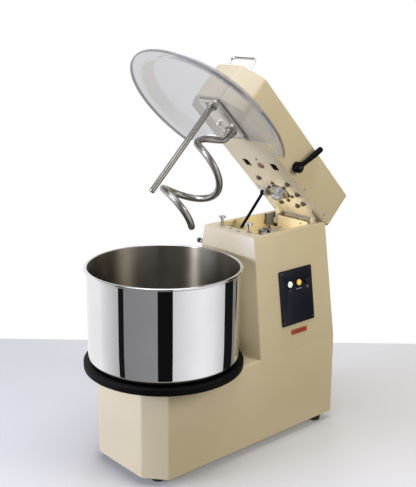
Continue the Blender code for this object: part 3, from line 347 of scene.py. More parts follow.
def sweep(points, radii, sides=20, round_ends=(True, True)):
    """A round bar along points, with domed or flat ends and a radius at each point."""
    points = [Vector(point) for point in points]
    if isinstance(radii, float):
        radii = [radii] * len(points)
    tangents = [(points[min(i + 1, len(points) - 1)] - points[max(i - 1, 0)]).normalized()
                for i in range(len(points))]
    stations = [(p, t, r) for p, t, r in zip(points, tangents, radii)]
    dome = [(sin(radians(a)), cos(radians(a))) for a in (22, 45, 67)]
    if round_ends[0]:
        p, t, r = stations[0]
        stations = [(p - t * r * up, t, r * out) for out, up in dome] + stations
    if round_ends[1]:
        p, t, r = stations[-1]
        stations += [(p + t * r * up, t, r * out) for out, up in reversed(dome)]
    work = bmesh.new()
    side = tangents[0].orthogonal().normalized()
    rings = []
    for place, tangent, radius in stations:
        side = (side - tangent * side.dot(tangent)).normalized()
        other = tangent.cross(side)
        turns = [2 * pi * i / sides for i in range(sides)]
        rings.append([work.verts.new(place + (side * cos(a) + other * sin(a)) * radius) for a in turns])
    for a, b in zip(rings, rings[1:]):
        for i in range(sides):
            j = (i + 1) % sides
            work.faces.new((a[i], a[j], b[j], b[i]))
    for ring, (place, tangent, radius), domed, sign in ((rings[0], stations[0], round_ends[0], -1),
                                                        (rings[-1], stations[-1], round_ends[1], 1)):
        if domed:
            tip = work.verts.new(place + tangent * sign * radius * 0.2)
            for i in range(sides):
                work.faces.new((ring[i], ring[(i + 1) % sides], tip))
        else:
            work.faces.new(ring)
    return to_mesh(work)


def smooth_path(corners, per_span):
    """A Catmull-Rom curve through points."""
    points = [Vector(c) for c in corners]
    ends = [points[0] * 2 - points[1]] + points + [points[-1] * 2 - points[-2]]
    path = []
    for i in range(1, len(ends) - 2):
        a, b, c, d = ends[i - 1:i + 3]
        for k in range(per_span):
            t = k / per_span
            path.append(0.5 * ((2 * b) + (c - a) * t + (2 * a - 5 * b + 4 * c - d) * t * t
                               + (3 * b - a - 3 * c + d) * t ** 3))
    path.append(points[-1])
    return path


def rounded(low, high, radius):
    """A rectangle's outline with round corners."""
    outline = []
    corners = (((high[0] - radius, high[1] - radius), 0), ((low[0] + radius, high[1] - radius), 90),
               ((low[0] + radius, low[1] + radius), 180), ((high[0] - radius, low[1] + radius), 270))
    for centre, start in corners:
        outline += arc(centre, radius, start, start + 90)
    return outline


def ring_outline(centre, radius):
    return arc(centre, radius, 0, 360, 48)[:-1]


def plate(outlines, low, high, edge=0.0):
    """A flat slab between two heights; outlines after the first are holes. Its edges are eased."""
    curve = bpy.data.curves.new("outline", "CURVE")
    curve.dimensions = "2D"
    curve.fill_mode = "BOTH"
    curve.extrude = (high - low) / 2
    for outline in outlines:
        spline = curve.splines.new("POLY")
        spline.points.add(len(outline) - 1)
        for point, (x, y) in zip(spline.points, outline):
            point.co = (x, y, 0, 1)
        spline.use_cyclic_u = True
    item = bpy.data.objects.new("outline", curve)
    scene.collection.objects.link(item)
    mesh = baked(item)
    work = bmesh.new()
    work.from_mesh(mesh)
    bmesh.ops.remove_doubles(work, verts=work.verts, dist=0.000002)
    bmesh.ops.dissolve_limit(work, angle_limit=0.001, verts=work.verts, edges=work.edges)
    if edge:
        sharp = [e for e in work.edges if e.is_manifold and e.calc_face_angle() > radians(60)]
        bmesh.ops.bevel(work, geom=sharp, offset=edge, segments=2, affect="EDGES", profile=0.5)
    mesh = to_mesh(work)
    mesh.transform(Matrix.Translation((0, 0, (low + high) / 2)))
    return mesh


def baked(item):
    """The evaluated mesh of an object, which is then removed."""
    bpy.context.view_layer.update()
    mesh = bpy.data.meshes.new_from_object(item.evaluated_get(bpy.context.evaluated_depsgraph_get()))
    mesh.transform(item.matrix_world)
    bpy.data.objects.remove(item, do_unlink=True)
    return mesh


def block(low, high, edge=0.0):
    """A box between two corners with eased edges."""
    work = bmesh.new()
    bmesh.ops.create_cube(work, size=1.0)
    bmesh.ops.scale(work, vec=[b - a for a, b in zip(low, high)], verts=work.verts)
    if edge:
        bmesh.ops.bevel(work, geom=work.edges[:], offset=edge, segments=3, affect="EDGES", profile=0.5)
    bmesh.ops.translate(work, vec=[(a + b) / 2 for a, b in zip(low, high)], verts=work.verts)
    return to_mesh(work)


def cut_away(mesh, *tools):
    """Subtract closed meshes from a mesh."""
    item = bpy.data.objects.new("cut", mesh)
    scene.collection.objects.link(item)
    helpers = []
    for tool in tools:
        helper = bpy.data.objects.new("tool", tool)
        scene.collection.objects.link(helper)
        modifier = item.modifiers.new("cut", "BOOLEAN")
        modifier.operation = "DIFFERENCE"
        modifier.solver = "EXACT"
        modifier.object = helper
        helpers.append(helper)
    result = baked(item)
    for helper in helpers:
        bpy.data.objects.remove(helper, do_unlink=True)
    return result


def hex_head(size, height):
    """A hexagon bolt head standing on z = 0, with its washer face and chamfered corners."""
    across = size / 2
    corner = across / cos(radians(30))
    work = bmesh.new()
    levels = ((0.0, across * 0.96, 0), (height * 0.10, across * 0.96, 0), (height * 0.10, corner, 1),
              (height * 0.86, corner, 1), (height, across * 0.92, 0))
    rings = []
    for level, radius, hexed in levels:
        ring = []
        for i in range(24):
            angle = 2 * pi * i / 24
            reach = across / cos((angle + pi / 6) % (pi / 3) - pi / 6) if hexed else radius
            ring.append(work.verts.new((reach * cos(angle), reach * sin(angle), level)))
        rings.append(ring)
    for a, b in zip(rings, rings[1:]):
        for i in range(24):
            j = (i + 1) % 24
            work.faces.new((a[i], a[j], b[j], b[i]))
    work.faces.new(rings[-1])
    work.faces.new(list(reversed(rings[0])))
    return to_mesh(work)


def washer(outer, inner, height):
    ease = 0.0002
    top = [(outer - ease, height), (outer, height - ease)]
    return lathe(top + [(outer, 0), (inner, 0), (inner, height)], 32)


def pan_head(radius, height):
    """A low domed screw head on z = 0 with a cross recess."""
    profile = [(0, height)] + [(radius * sin(radians(a)), height * (0.35 + 0.65 * cos(radians(a))))
                               for a in (20, 40, 60, 80)] + [(radius, height * 0.30), (radius, 0), (0, 0)]
    head = lathe(profile, 28)
    arm = radius * 0.52
    wide = radius * 0.13
    tools = [block((-arm, -wide, height * 0.45), (arm, wide, height * 1.5)),
             block((-wide, -arm, height * 0.45), (wide, arm, height * 1.5))]
    return cut_away(head, *tools)


def socket_head(radius, height):
    """A black cap screw head on z = 0 with a hexagon socket."""
    profile = [(0, height), (radius - 0.0004, height), (radius, height - 0.0004), (radius, 0), (0, 0)]
    tool = plate([arc((0, 0), radius * 0.55, 0, 360, 6)[:-1]], height * 0.45, height * 1.5)
    return cut_away(lathe(profile, 28), tool)


def facing(place, normal):
    """A matrix that puts a piece built on z = 0 onto a face."""
    return axis_matrix(place, Vector(place) + Vector(normal))


# ===================================================================== bowl
def bowl():
    wall, radius, floor, rim, corner = 0.002, 0.200, 0.288, 0.5425, 0.016
    inner = radius - wall
    bead = 0.0035
    inside = [(0, floor + wall + 0.0012), (0.034, floor + wall + 0.0012), (0.040, floor + wall),
              (radius - corner, floor + wall)]
    inside += arc((radius - corner, floor + corner), corner - wall, -90, 0, 8)[1:]
    inside += [(inner, 0.36), (inner, 0.44), (inner, rim - bead)]
    inside += arc((inner + bead, rim - bead), bead, 180, 90, 5)[1:]
    outside = arc((0.2071 - bead, rim - bead), bead, 90, -90, 9)
    outside += [(radius + 0.0006, rim - 2 * bead - 0.0002), (radius, rim - 2 * bead - 0.0012),
                (radius, 0.44), (radius, 0.36)]
    outside += arc((radius - corner, floor + corner), corner, 0, -90, 8)
    outside += [(0.06, floor), (0, floor)]
    profile = inside + outside
    slots = [0 if i < len(inside) - 4 else 1 for i in range(len(profile) - 1)]
    # Inside faces take the steel darkened with painted shade, outside faces the mirror.
    add("bowl_polished", lathe(profile, 168, slots), "bowl", (BRUSHED_PAINTED_SHADE, MIRROR),
        stands_for=("bowl",), smooth=30)


def turntable():
    top, low = 0.2877, 0.2685
    profile = [(0.194, top)] + arc((0.2091, top - 0.0035), 0.0035, 90, 0, 6)
    profile += arc((0.2091, low + 0.0035), 0.0035, 0, -90, 6)
    profile += [(0.198, low), (0.194, 0.2738), (0.0118, 0.2738), (0.0118, 0.2790), (0.056, 0.2790),
                (0.056, top), (0.064, top), (0.064, 0.2790), (0.190, 0.2790)]
    add("turntable_moulding", lathe(profile, 168), "bowl", BLACK,
        stands_for=("turntable_ring",))


# ===================================================================== head
def lid():
    top, t, rim = LID_TOP, LID_WALL, 0.563
    reach, rim_starts, chord_y = 0.2346, 0.2300, 0.138
    outer = [(0, top), (0.181, top)] + arc((0.181, top - 0.009), 0.009, 90, 22, 5)
    outer += [(0.2033, rim + 0.0120)] + arc((0.2085, rim + 0.0139), 0.0060, 205, 262, 4)
    outer += arc((0.2311, rim + 0.0044), 0.0035, 88, 0, 5) + [(reach, rim)]
    inner = [(reach - t, rim), (reach - t, rim + 0.0034), (0.2304, rim + 0.0052), (0.2100, rim + 0.0050),
             (0.2030, rim + 0.0078), (0.1880, top - 0.0075), (0.184, top - 0.0037), (0.181, top - t),
             (0, top - t)]
    mesh = lathe(outer + inner, 168)
    chord = block((-0.3, chord_y, 0.5), (0.3, 0.4, 0.7))
    hole = lathe([(0, 0.63), (0.022, 0.63), (0.022, 0.58), (0, 0.58)], 48)
    mesh = cut_away(mesh, chord, moved(hole, at(0, SPIRAL_Y, 0)))
    # Faces out past rim_starts take the rim material with its painted shade and reflection.
    for face in mesh.polygons:
        face.material_index = 1 if face.center.xy.length > rim_starts else 0
    sheet = add("lid_clear", mesh, "head", (LID, LID_RIM_PAINTED_SHADE), HEAD, ("lid",), 25)
    sheet.visible_shadow = sheet.visible_diffuse = False


def mounting_plate():
    """The spiral's plate, its front bolts, the bar's clamp and the rear bolts on the lid's edge."""
    top = LID_TOP - LID_WALL - GAP
    low = top - 0.005
    outlines = [rounded((-0.039, -0.024), (0.039, 0.1225), 0.014), ring_outline((0, SPIRAL_Y), 0.0165)]
    pieces = [plate(outlines, low, top, 0.0006)]
    for x, y, level in ((-0.028, 0.072, low), (0.028, 0.072, low),
                        (-0.030, 0.1295, top), (0.030, 0.1295, top)):
        under = facing((x, y, level), DOWN)
        pieces.append(moved(washer(0.0080, 0.0042, 0.0014), under))
        pieces.append(moved(hex_head(0.0115, 0.0052), at(0, 0, 0.0014), under))
    pieces.append(block((-0.0345, -0.0135, low - 0.0035), (-0.0135, 0.0135, low), 0.0008))
    # The plate's steel carries a painted reflection of the cream paint in its colour.
    add("spiral_mounting_plate_finished", merged(*pieces), "head", SHEET_PAINTED_REFLECTION, HEAD,
        ("spiral_mounting_plate",))


def breaker_bar():
    top = 0.5929
    profile = [(0, top), (0.0140, top), (0.0140, top - 0.0045), (0.0130, top - 0.0052)]
    profile += arc((0.0105, top - 0.0082), 0.0030, 90, 180, 4)
    profile += [(0.0075, 0.45), (0.0075, 0.3130)] + arc((0.0045, 0.3120), 0.0030, 0, -90, 4) + [(0, 0.3090)]
    add("breaker_bar_turned", lathe(profile, 40), "head", FORGED, HEAD, ("breaker_bar",))


SPIRAL_RADIUS, SPIRAL_GROWTH = 0.0596, 0.0030    # of the centre line at its top, and its widening
SPIRAL_START, SPIRAL_TURNS = 246, 1.40           # where the coil begins, in degrees, and its length
SPIRAL_TOP, SPIRAL_DROP = 0.5032, 0.2035


def spiral_point(turn):
    """The hook's centre line: a left-hand coil that winds down and grows a little wider."""
    share = turn / SPIRAL_TURNS
    angle = radians(SPIRAL_START + 360 * turn)
    radius = SPIRAL_RADIUS + SPIRAL_GROWTH * share
    height = SPIRAL_TOP - SPIRAL_DROP * (1 - (1 - 0.97 * share) ** 1.19)
    return Vector((radius * cos(angle), SPIRAL_Y + radius * sin(angle), height))


def spiral_lead_in(share):
    """From the shaft's end out to the first coil."""
    ease = share * share * (3 - 2 * share)
    angle = radians(SPIRAL_START - 59 * (1 - share) ** 1.5)
    height = 0.566 - 0.061 * (share * 0.45 + share * share * 0.55)
    radius = SPIRAL_RADIUS * ease
    return Vector((radius * cos(angle), SPIRAL_Y + radius * sin(angle), height))


def spiral():
    points = [Vector((0, SPIRAL_Y, 0.590)), Vector((0, SPIRAL_Y, 0.576))]
    points += [spiral_lead_in(i / 14) for i in range(14)]
    points += [spiral_point((SPIRAL_TURNS - 0.020) * i / 90) for i in range(91)]
    for _ in range(3):
        eased = [(a + b * 2 + c) / 4 for a, b, c in zip(points, points[1:], points[2:])]
        points = [points[0]] + eased + [points[-1]]
    hook = sweep(points, 0.0092, 28, (False, True))
    shaft = lathe([(0, 0.6850), (0.0115, 0.6850), (0.0125, 0.6840), (0.0125, 0.6010), (0.0150, 0.6005),
                   (0.0150, 0.5900), (0.0140, 0.5880), (0.0125, 0.5870)] +
                  arc((0.0085, 0.5790), 0.0040, 0, -90, 4) + [(0, 0.5750)], 40)
    add("spiral_hook_forged", merged(hook, moved(shaft, at(0, SPIRAL_Y, 0))), "spiral",
        FORGED, HEAD, ("spiral_hook",), 40)


def lift_handle():
    y, half, top, corner = -0.004, 0.045, 0.7580, 0.012
    right = [(half, y, 0.7128), (half, y, 0.7290)]
    right += [(half - corner + corner * cos(radians(a)), y, top - corner + corner * sin(radians(a)))
              for a in range(0, 91, 10)]
    left = [(-x, py, z) for x, py, z in reversed(right)]
    pieces = [sweep(right + left, 0.0036, 20, (False, False))]
    for x in (-half, half):
        collar = lathe([(0.0058, 0.0040), (0.0064, 0.0034), (0.0064, 0), (0.0037, 0), (0.0037, 0.0040)], 28)
        pieces.append(moved(washer(0.0078, 0.0037, 0.0016), at(x, y, 0.7127)))
        pieces.append(moved(collar, at(x, y, 0.7143)))
    add("lift_handle_wire", merged(*pieces), "head", CHROME, HEAD, ("lift_handle",))


def latch_lever():
    y, z = LATCH_Y, LATCH_Z
    hub = lathe([(0, 0.0174), (0.0060, 0.0174), (0.0065, 0.0168), (0.0115, 0.0168), (0.0140, 0.0160),
                 (0.0150, 0.0145), (0.0150, 0.0010), (0.0144, 0.0), (0, 0)], 48)
    path = smooth_path([(0.1120, y - 0.006, z - 0.010), (0.1130, y + 0.004, z + 0.015),
                        (0.1160, y + 0.010, z + 0.036), (0.1190, y + 0.016, z + 0.060),
                        (0.1200, y + 0.022, z + 0.082)], 7)
    count = len(path)
    radii = [0.0086 - 0.0016 * sin(pi * min(1, i / count * 1.4)) - 0.0004 * i / count for i in range(count)]
    arm = sweep(path, radii, 24)
    cap = moved(socket_head(0.0050, 0.0030), at(0, 0, 0.0168))
    on_side = facing((0.1006, y, z), (1, 0, 0))
    add("latch_lever_moulded", merged(moved(hub, on_side), arm), "latch", BLACK, HEAD,
        ("latch_lever",), 40)
    add("latch_lever_screw", moved(cap, on_side), "latch", DARK_STEEL, HEAD)


def closing_bumper():
    top = 0.6015
    profile = [(0, top), (0.0105, top), (0.0105, top - 0.0016)]
    profile += arc((0.0083, top - 0.0016), 0.0022, 0, -90, 4)
    profile += [(0.0045, top - 0.0038), (0.0040, top - 0.0026), (0, top - 0.0024)]
    add("closing_bumper_moulded", moved(lathe(profile, 40), at(0, 0.2555, 0)), "head",
        BROWN, HEAD, ("closing_bumper",))


def head_hardware():
    """Screws, nuts and the small fittings on the head's floor."""
    floor, bolt_circle = 0.6018, 0.0395
    black, zinc = [], []
    for angle in range(20, 360, 60):
        x, y = bolt_circle * cos(radians(angle)), DRIVE_Y + bolt_circle * sin(radians(angle))
        black.append(moved(socket_head(0.0050, 0.0048), facing((x, y, floor), DOWN)))
    for x, y in ((-0.052, 0.322), (0.056, 0.328), (-0.034, 0.432), (0.030, 0.434), (0.066, 0.372),
                 (0.062, 0.416)):
        under = facing((x, y, floor), DOWN)
        black.append(moved(washer(0.0085, 0.0036, 0.0014), under))
        black.append(moved(hex_head(0.0120, 0.0056), at(0, 0, 0.0014), under))
    for x, y in ((0.017, 0.502), (-0.047, 0.502), (0.062, 0.490)):
        zinc.append(moved(pan_head(0.0042, 0.0018), facing((x, y, floor), DOWN)))
    for x in (-0.030, 0.030):
        black.append(moved(pan_head(0.0045, 0.0020), facing((x, -0.020, 0.6010), DOWN)))
    add("head_floor_cap_screws", merged(*black), "head", DARK_STEEL, HEAD)
    add("head_floor_bolts", merged(*zinc), "head", ZINC, HEAD)
    side = []
    for sign in (-1, 1):
        for y in (0.060, 0.200, 0.350, 0.470):
            side.append(moved(pan_head(0.0040, 0.0018), facing((sign * 0.100, y, 0.6105), (sign, 0, 0))))
    add("head_cover_screws", merged(*side), "head", ZINC, HEAD)


# ==================================================================== strut
def strut():
    low = Vector((-0.070, 0.259, 0.480))
    turned_up = Matrix.Rotation(-OPEN, 3, "X") @ Vector((-0.070, 0.383 - HINGE_Y, 0.590 - HINGE_Z))
    high = turned_up + Vector((0, HINGE_Y, HINGE_Z))
    along = (high - low).normalized()
    length = (high - low).length
    spot = lambda distance: low + along * distance
    bar = moved(lathe([(0, 0.139), (0.0021, 0.139), (0.0025, 0.1385), (0.0025, 0), (0, 0)], 28),
                axis_matrix(spot(0.006), high))
    eye = lathe([(0.0070, 0.0100), (0.0075, 0.0095), (0.0075, 0.0005), (0.0070, 0), (0.0034, 0),
                 (0.0034, 0.0100)], 36)
    add("strut_rod_polished", merged(bar, moved(eye, facing(low - Vector((0.005, 0, 0)), (1, 0, 0)))),
        "strut_rod_body", CHROME, STAND, ("strut_rod",))
    tube = lathe([(0, 0.124), (0.0031, 0.124), (0.0043, 0.122), (0.0043, 0.0035), (0.0037, 0.0028),
                  (0.0037, 0.0018), (0.0042, 0.0012), (0.0041, 0), (0.0029, 0), (0.0029, 0.110),
                  (0, 0.110)], 32)
    cup = lathe([(0, 0.0120), (0.0059, 0.0120), (0.0070, 0.0109), (0.0070, 0.0011), (0.0059, 0), (0, 0)], 36)
    neck = lathe([(0, 0.010), (0.0038, 0.010), (0.0038, 0), (0, 0)], 24)
    add("strut_tube_painted", merged(moved(tube, axis_matrix(spot(length - 0.127), high)),
                                     moved(neck, axis_matrix(spot(length - 0.012), high)),
                                     moved(cup, facing(high - Vector((0.006, 0, 0)), (1, 0, 0)))),
        "strut_tube_body", BLACK, STAND, ("strut_cylinder",))
    stud = lathe([(0, 0.0060), (0.0030, 0.0060), (0.0032, 0.0056), (0.0032, 0), (0, 0)], 24)
    add("strut_ball_stud", moved(stud, facing(high + Vector((0.0057, 0, 0)), (1, 0, 0))), "strut_tube_body",
        CHROME)


# =================================================================== column
def side_x(height):
    """How far out the column's right side is."""
    return 0.1495 - (height - 0.264) * SIDE_IN / SIDE_RISE


def on_panel(y, height, out):
    """A matrix onto the column's leaning right side: local X back, Y up, Z outward."""
    across = Matrix(((0, 0, 1), (1, 0, 0), (0, 1, 0))).to_4x4()
    place = at(side_x(height) + out * cos(SIDE_LEAN), y, height + out * sin(SIDE_LEAN))
    return place @ Matrix.Rotation(-SIDE_LEAN, 4, "Y") @ across


def control_panel():
    middle_y, middle_z = 0.3727, 0.4125
    half_w, half_h = 0.0649, 0.154 / cos(SIDE_LEAN) / 2
    sunk, face, raised = 0.0039, 0.0040, 0.0043
    rise = (BUTTON_Z - middle_z) / cos(SIDE_LEAN)
    place = on_panel(middle_y, middle_z, GAP)
    start, stop, mode = (y - middle_y for y in BUTTON_Y)

    def inset(edge, radius):
        return rounded((-half_w + edge, -half_h + edge), (half_w - edge, half_h - edge), radius)

    holes = [ring_outline((y, rise), 0.0091) for y in (start, stop, mode)]
    front = plate([inset(0, 0.004)] + holes, 0.0, face, 0.0007)
    add("control_panel_moulded", moved(front, place), "frame", NAVY, STAND, ("control_panel",))
    frame_line = plate([inset(0.004, 0.003), inset(0.0052, 0.0022)], sunk, raised)
    window = plate([rounded((-0.045, -0.055), (0.045, -0.005), 0.003),
                    rounded((-0.044, -0.054), (0.044, -0.006), 0.0024)], sunk, raised)
    add("control_panel_relief", moved(merged(frame_line, window), place), "frame", DARK_LENS)
    bezels = []
    for y in (start, stop, mode):
        ring = lathe([(0.0094, 0.0022), (0.0104, 0.0016), (0.0110, 0.0), (0.0091, 0.0), (0.0091, 0.0022)], 40)
        bezels.append(moved(ring, at(y, rise, face)))
    add("button_bezels", moved(merged(*bezels), place), "frame", BLACK)
    stop_mark = [rounded((stop - 0.011, rise - 0.0185), (stop + 0.011, rise - 0.0170), 0.0004)]
    start_mark = [rounded((start - 0.0007, rise - 0.0210), (start + 0.0007, rise - 0.0150), 0.0004)]
    mode_mark = [ring_outline((mode, rise - 0.018), radius) for radius in (0.0032, 0.0023)]
    marks = [plate(outlines, face, raised) for outlines in (stop_mark, start_mark, mode_mark)]
    add("panel_marks", moved(merged(*marks), place), "frame", PRINT)
    corners = []
    for x in (-half_w + 0.0085, half_w - 0.0085):
        for y in (-half_h + 0.0085, half_h - 0.0085):
            corners.append(moved(pan_head(0.0026, 0.0012), at(x, y, face)))
    add("panel_screws", moved(merged(*corners), place), "frame", DARK_STEEL)


def buttons():
    looks = (("start", LIT_WHITE, "start_lens"), ("stop", LIT_AMBER, "stop_lens"),
             ("mode", DARK_LENS, "black_plastic"))
    for y, (name, surface, slot) in zip(BUTTON_Y, looks):
        profile = [(0, 0.0048), (0.0040, 0.0046), (0.0068, 0.0041)] + arc((0.0073, 0.0029), 0.0012, 80, 0, 4)
        profile += [(0.0085, -0.0070), (0.0045, -0.0070), (0.0045, -0.0130), (0, -0.0130)]
        place = on_panel(y, BUTTON_Z, 0.0043)
        add(name + "_button_lens", moved(lathe(profile, 40), place), name, surface, STAND,
            (name + "_button",))


def badge():
    place = on_panel(0.374, 0.313, GAP)
    base = plate([rounded((-0.032, -0.0075), (0.032, 0.0075), 0.003)], 0, 0.0015, 0.0004)
    line = plate([rounded((-0.0305, -0.0060), (0.0305, 0.0060), 0.002),
                  rounded((-0.0298, -0.0053), (0.0298, 0.0053), 0.0016)], 0.0014, 0.0019)
    add("badge_blank", moved(base, place), "frame", BADGE, STAND, ("badge_plate",))
    add("badge_border", moved(line, place), "frame", BADGE_EDGE)


def deck_hardware():
    """What stands on the column's top: latch pins with their nuts, small bolts, the sensor's screws."""
    foot = DECK + GAP
    for name, x in (("latch_pin_left", -PIN_X), ("latch_pin_right", PIN_X)):
        profile = [(0, 0.6256), (0.0079, 0.6256)] + arc((0.0087, 0.6241), 0.0015, 90, 0, 3)
        profile += [(0.0102, 0.6205), (0.0090, 0.6198), (0.0042, 0.6191), (0.0042, 0.6010), (0.0080, 0.6005),
                    (0.0080, foot), (0, foot)]
        pin = moved(lathe(profile, 40), at(x, PIN_Y, 0))
        nut = moved(hex_head(0.0135, 0.0052), at(x, PIN_Y, foot))
        add(name + "_turned", merged(pin, nut), "frame", CHROME, STAND, (name,))
    bolts = []
    for x, y in ((-0.014, 0.250), (0.022, 0.244)):
        bolts.append(moved(hex_head(0.0080, 0.0030), at(x, y, DECK + 0.0001)))
    add("deck_bolts", merged(*bolts), "frame", ZINC)
    screws = [moved(pan_head(0.0028, 0.0014), facing((x, y, 0.5947), (0, 0, 1)))
              for x, y in ((0.0741, 0.2960), (0.0741, 0.3220), (0.0545, 0.3700))]
    add("sensor_screws", merged(*screws), "frame", ZINC)


def side_stop():
    """The round stop on the column's left: a stud, a lock nut and a ribbed rubber tip."""
    height = 0.540
    face = side_x(height)
    stud = lathe([(0, 0.0300), (0.0040, 0.0300), (0.0040, 0), (0, 0)], 28)
    nut = hex_head(0.0130, 0.0060)
    collar = lathe([(0, 0.0170), (0.0068, 0.0170), (0.0072, 0.0166), (0.0072, 0.0130), (0.0068, 0.0126),
                    (0, 0.0126)], 32)
    on_left = facing((-face - 0.0004, 0.244, height), (-1, 0, 0))
    add("side_stop_stud", moved(merged(stud, nut, collar), on_left), "frame", ZINC, STAND,
        ("side_bumper",))
    tip = lathe([(0, 0.0332), (0.0050, 0.0332), (0.0066, 0.0322), (0.0070, 0.0308), (0.0070, 0.0285),
                 (0.0062, 0.0275), (0.0070, 0.0265), (0.0070, 0.0225), (0.0062, 0.0215), (0, 0.0215)], 36)
    add("side_stop_tip", moved(tip, on_left), "frame", RUBBER)


def feet():
    for name, x, y in (("foot_front_left", -0.092, -0.095), ("foot_front_right", 0.092, -0.095),
                       ("foot_rear_left", -0.122, 0.480), ("foot_rear_right", 0.122, 0.480)):
        profile = [(0, 0.0264), (0.0135, 0.0264), (0.0140, 0.0225), (0.0150, 0.0215), (0.0155, 0.0150),
                   (0.0166, 0.0140), (0.0168, 0.0070), (0.0170, 0.0060), (0.0170, 0.0022), (0.0158, 0.0004),
                   (0.0140, 0.0), (0.0060, 0.0), (0.0055, 0.0030), (0, 0.0030)]
        add(name + "_moulded", moved(lathe(profile, 36), at(x, y, 0)), "frame", RUBBER,
            STAND, (name,))


def rear_y(height):
    """How far back the column's rear is."""
    return 0.5235 - (height - 0.024) * REAR_IN / REAR_RISE


def rear_details():
    """Screws and pressed hoods on the rear cover, and the lead gland."""
    outward = Vector((0, cos(REAR_LEAN), sin(REAR_LEAN)))
    screws = []
    for x in (-0.083, 0.083):
        for z in (0.295, 0.420, 0.545):
            spot = Vector((x, rear_y(z) + GAP, z)) + outward * 0.0025
            screws.append(moved(pan_head(0.0042, 0.0020), facing(spot, outward)))
    add("rear_panel_screws", merged(*screws), "frame", ZINC)
    hoods = []
    for i in range(8):
        z = 0.330 + 0.014 * i + 0.0050
        start = Vector((-0.049, rear_y(z) + 0.0028, z))
        hood = [(0, 0), (0.0045, -0.0040), (0.0053, -0.0034), (0.0008, 0.0012), (-0.0008, 0.0012)]
        work = bmesh.new()
        rings = [[work.verts.new((start.x + width, start.y + a, start.z + b)) for a, b in hood]
                 for width in (0, 0.098)]
        work.faces.new(rings[0])
        work.faces.new(list(reversed(rings[1])))
        for k in range(5):
            work.faces.new((rings[0][k], rings[0][(k + 1) % 5], rings[1][(k + 1) % 5], rings[1][k]))
        hoods.append(to_mesh(work))
    add("rear_louvre_hoods", merged(*hoods), "frame", CREAM)
    x, z = -0.090, 0.080
    y = rear_y(z - 0.012) + GAP
    back = facing((x, y, z), (0, 1, 0))
    dome = lathe([(0.0050, 0.0178), (0.0066, 0.0180), (0.0084, 0.0168), (0.0095, 0.0140), (0.0095, 0.0062),
                  (0.0050, 0.0062)], 40)
    bore = lathe([(0, 0.02), (0.0050, 0.02), (0.0050, -0.01), (0, -0.01)], 32)
    nut = cut_away(hex_head(0.0220, 0.0062), bore)
    add("gland_moulded", moved(merged(dome, nut), back), "frame", BLACK, STAND,
        ("cable_gland",), 40)


def underside():
    """Screws that hold the base plate."""
    screws = []
    for x, y in ((0.075, -0.130), (0.135, 0.05), (0.135, 0.25), (0.135, 0.42), (0.05, 0.505)):
        for side in (-x, x):
            screws.append(moved(hex_head(0.0070, 0.0022), facing((side, y, 0.0268), DOWN)))
    add("base_plate_screws", merged(*screws), "frame", ZINC)


# ==================================================================== stage
def emission(name, colour, strength):
    made = bpy.data.materials.new(name)
    made.use_nodes = True
    tree = made.node_tree
    tree.nodes.clear()
    light = tree.nodes.new("ShaderNodeEmission")
    light.inputs["Color"].default_value = (*colour, 1.0)
    light.inputs["Strength"].default_value = strength
    out = tree.nodes.new("ShaderNodeOutputMaterial")
    tree.links.new(light.outputs[0], out.inputs["Surface"])
    return made


def stage_object(name, mesh, surface):
    mesh.materials.clear()
    mesh.materials.append(surface)
    item = bpy.data.objects.new(name, mesh)
    scene.collection.objects.link(item)
    return item


CAMERA_AZ = radians(48.1)
CAMERA_EL = radians(15.0)
CAMERA_ROLL = radians(0.7)
CAMERA_PLACE = Vector((1.6914, -1.3644 + BOWL_AXIS.y, 1.1826))
LENS_MM = 64.489525               # on a frame 36 mm tall


def camera():
    back = Vector((sin(CAMERA_AZ) * cos(CAMERA_EL), -cos(CAMERA_AZ) * cos(CAMERA_EL), sin(CAMERA_EL)))
    right = Vector((cos(CAMERA_AZ), sin(CAMERA_AZ), 0))
    up = back.cross(right)
    right_r = right * cos(CAMERA_ROLL) + up * sin(CAMERA_ROLL)
    up_r = up * cos(CAMERA_ROLL) - right * sin(CAMERA_ROLL)
    data = bpy.data.cameras.new("camera")
    data.sensor_width = 36
    data.lens = LENS_MM
    data.clip_end = 100
    item = bpy.data.objects.new("camera", data)
    scene.collection.objects.link(item)
    turn = Matrix((right_r, up_r, back)).transposed().to_4x4()
    item.matrix_world = at(*CAMERA_PLACE) @ turn
    scene.camera = item


def floor():
    """A pale grey floor that stops a little behind the machine, in front of a white surround."""
    made, tree, shader = nodes_of("floor_paint")
    tree.links.new(ramp(tree, noise(tree, 3, 2), (0.700, 0.700, 0.705), (0.715, 0.715, 0.720)),
                   shader.inputs["Base Color"])
    shader.inputs["Emission Color"].default_value = (0.90, 1.0, 1.15, 1.0)
    shader.inputs["Emission Strength"].default_value = 0.04
    shader.inputs["Roughness"].default_value = 0.8
    shader.inputs["Specular IOR Level"].default_value = 0.2
    ahead = Vector((-sin(CAMERA_AZ), cos(CAMERA_AZ), 0))
    side = Vector((cos(CAMERA_AZ), sin(CAMERA_AZ), 0))
    foot = Vector((CAMERA_PLACE.x, CAMERA_PLACE.y, 0))
    far, near, half = 3.02, 0.4, 2.6    # ahead of the camera, behind it and to each side
    corners = [foot + ahead * far - side * half, foot + ahead * far + side * half,
               foot - ahead * near + side * half, foot - ahead * near - side * half]
    work = bmesh.new()
    work.faces.new([work.verts.new(c - Vector((0, 0, 0.0002))) for c in corners])
    ground = stage_object("floor", to_mesh(work), made)
    ground.visible_diffuse = ground.visible_glossy = False


def surround():
    """A white shell that only the eye sees, so that it adds no light of its own."""
    work = bmesh.new()
    bmesh.ops.create_icosphere(work, subdivisions=4, radius=9)
    shell = stage_object("surround", to_mesh(work), emission("surround_white", (1, 1, 1), 1.0))
    shell.visible_diffuse = shell.visible_glossy = shell.visible_shadow = False
    shell.visible_volume_scatter = False


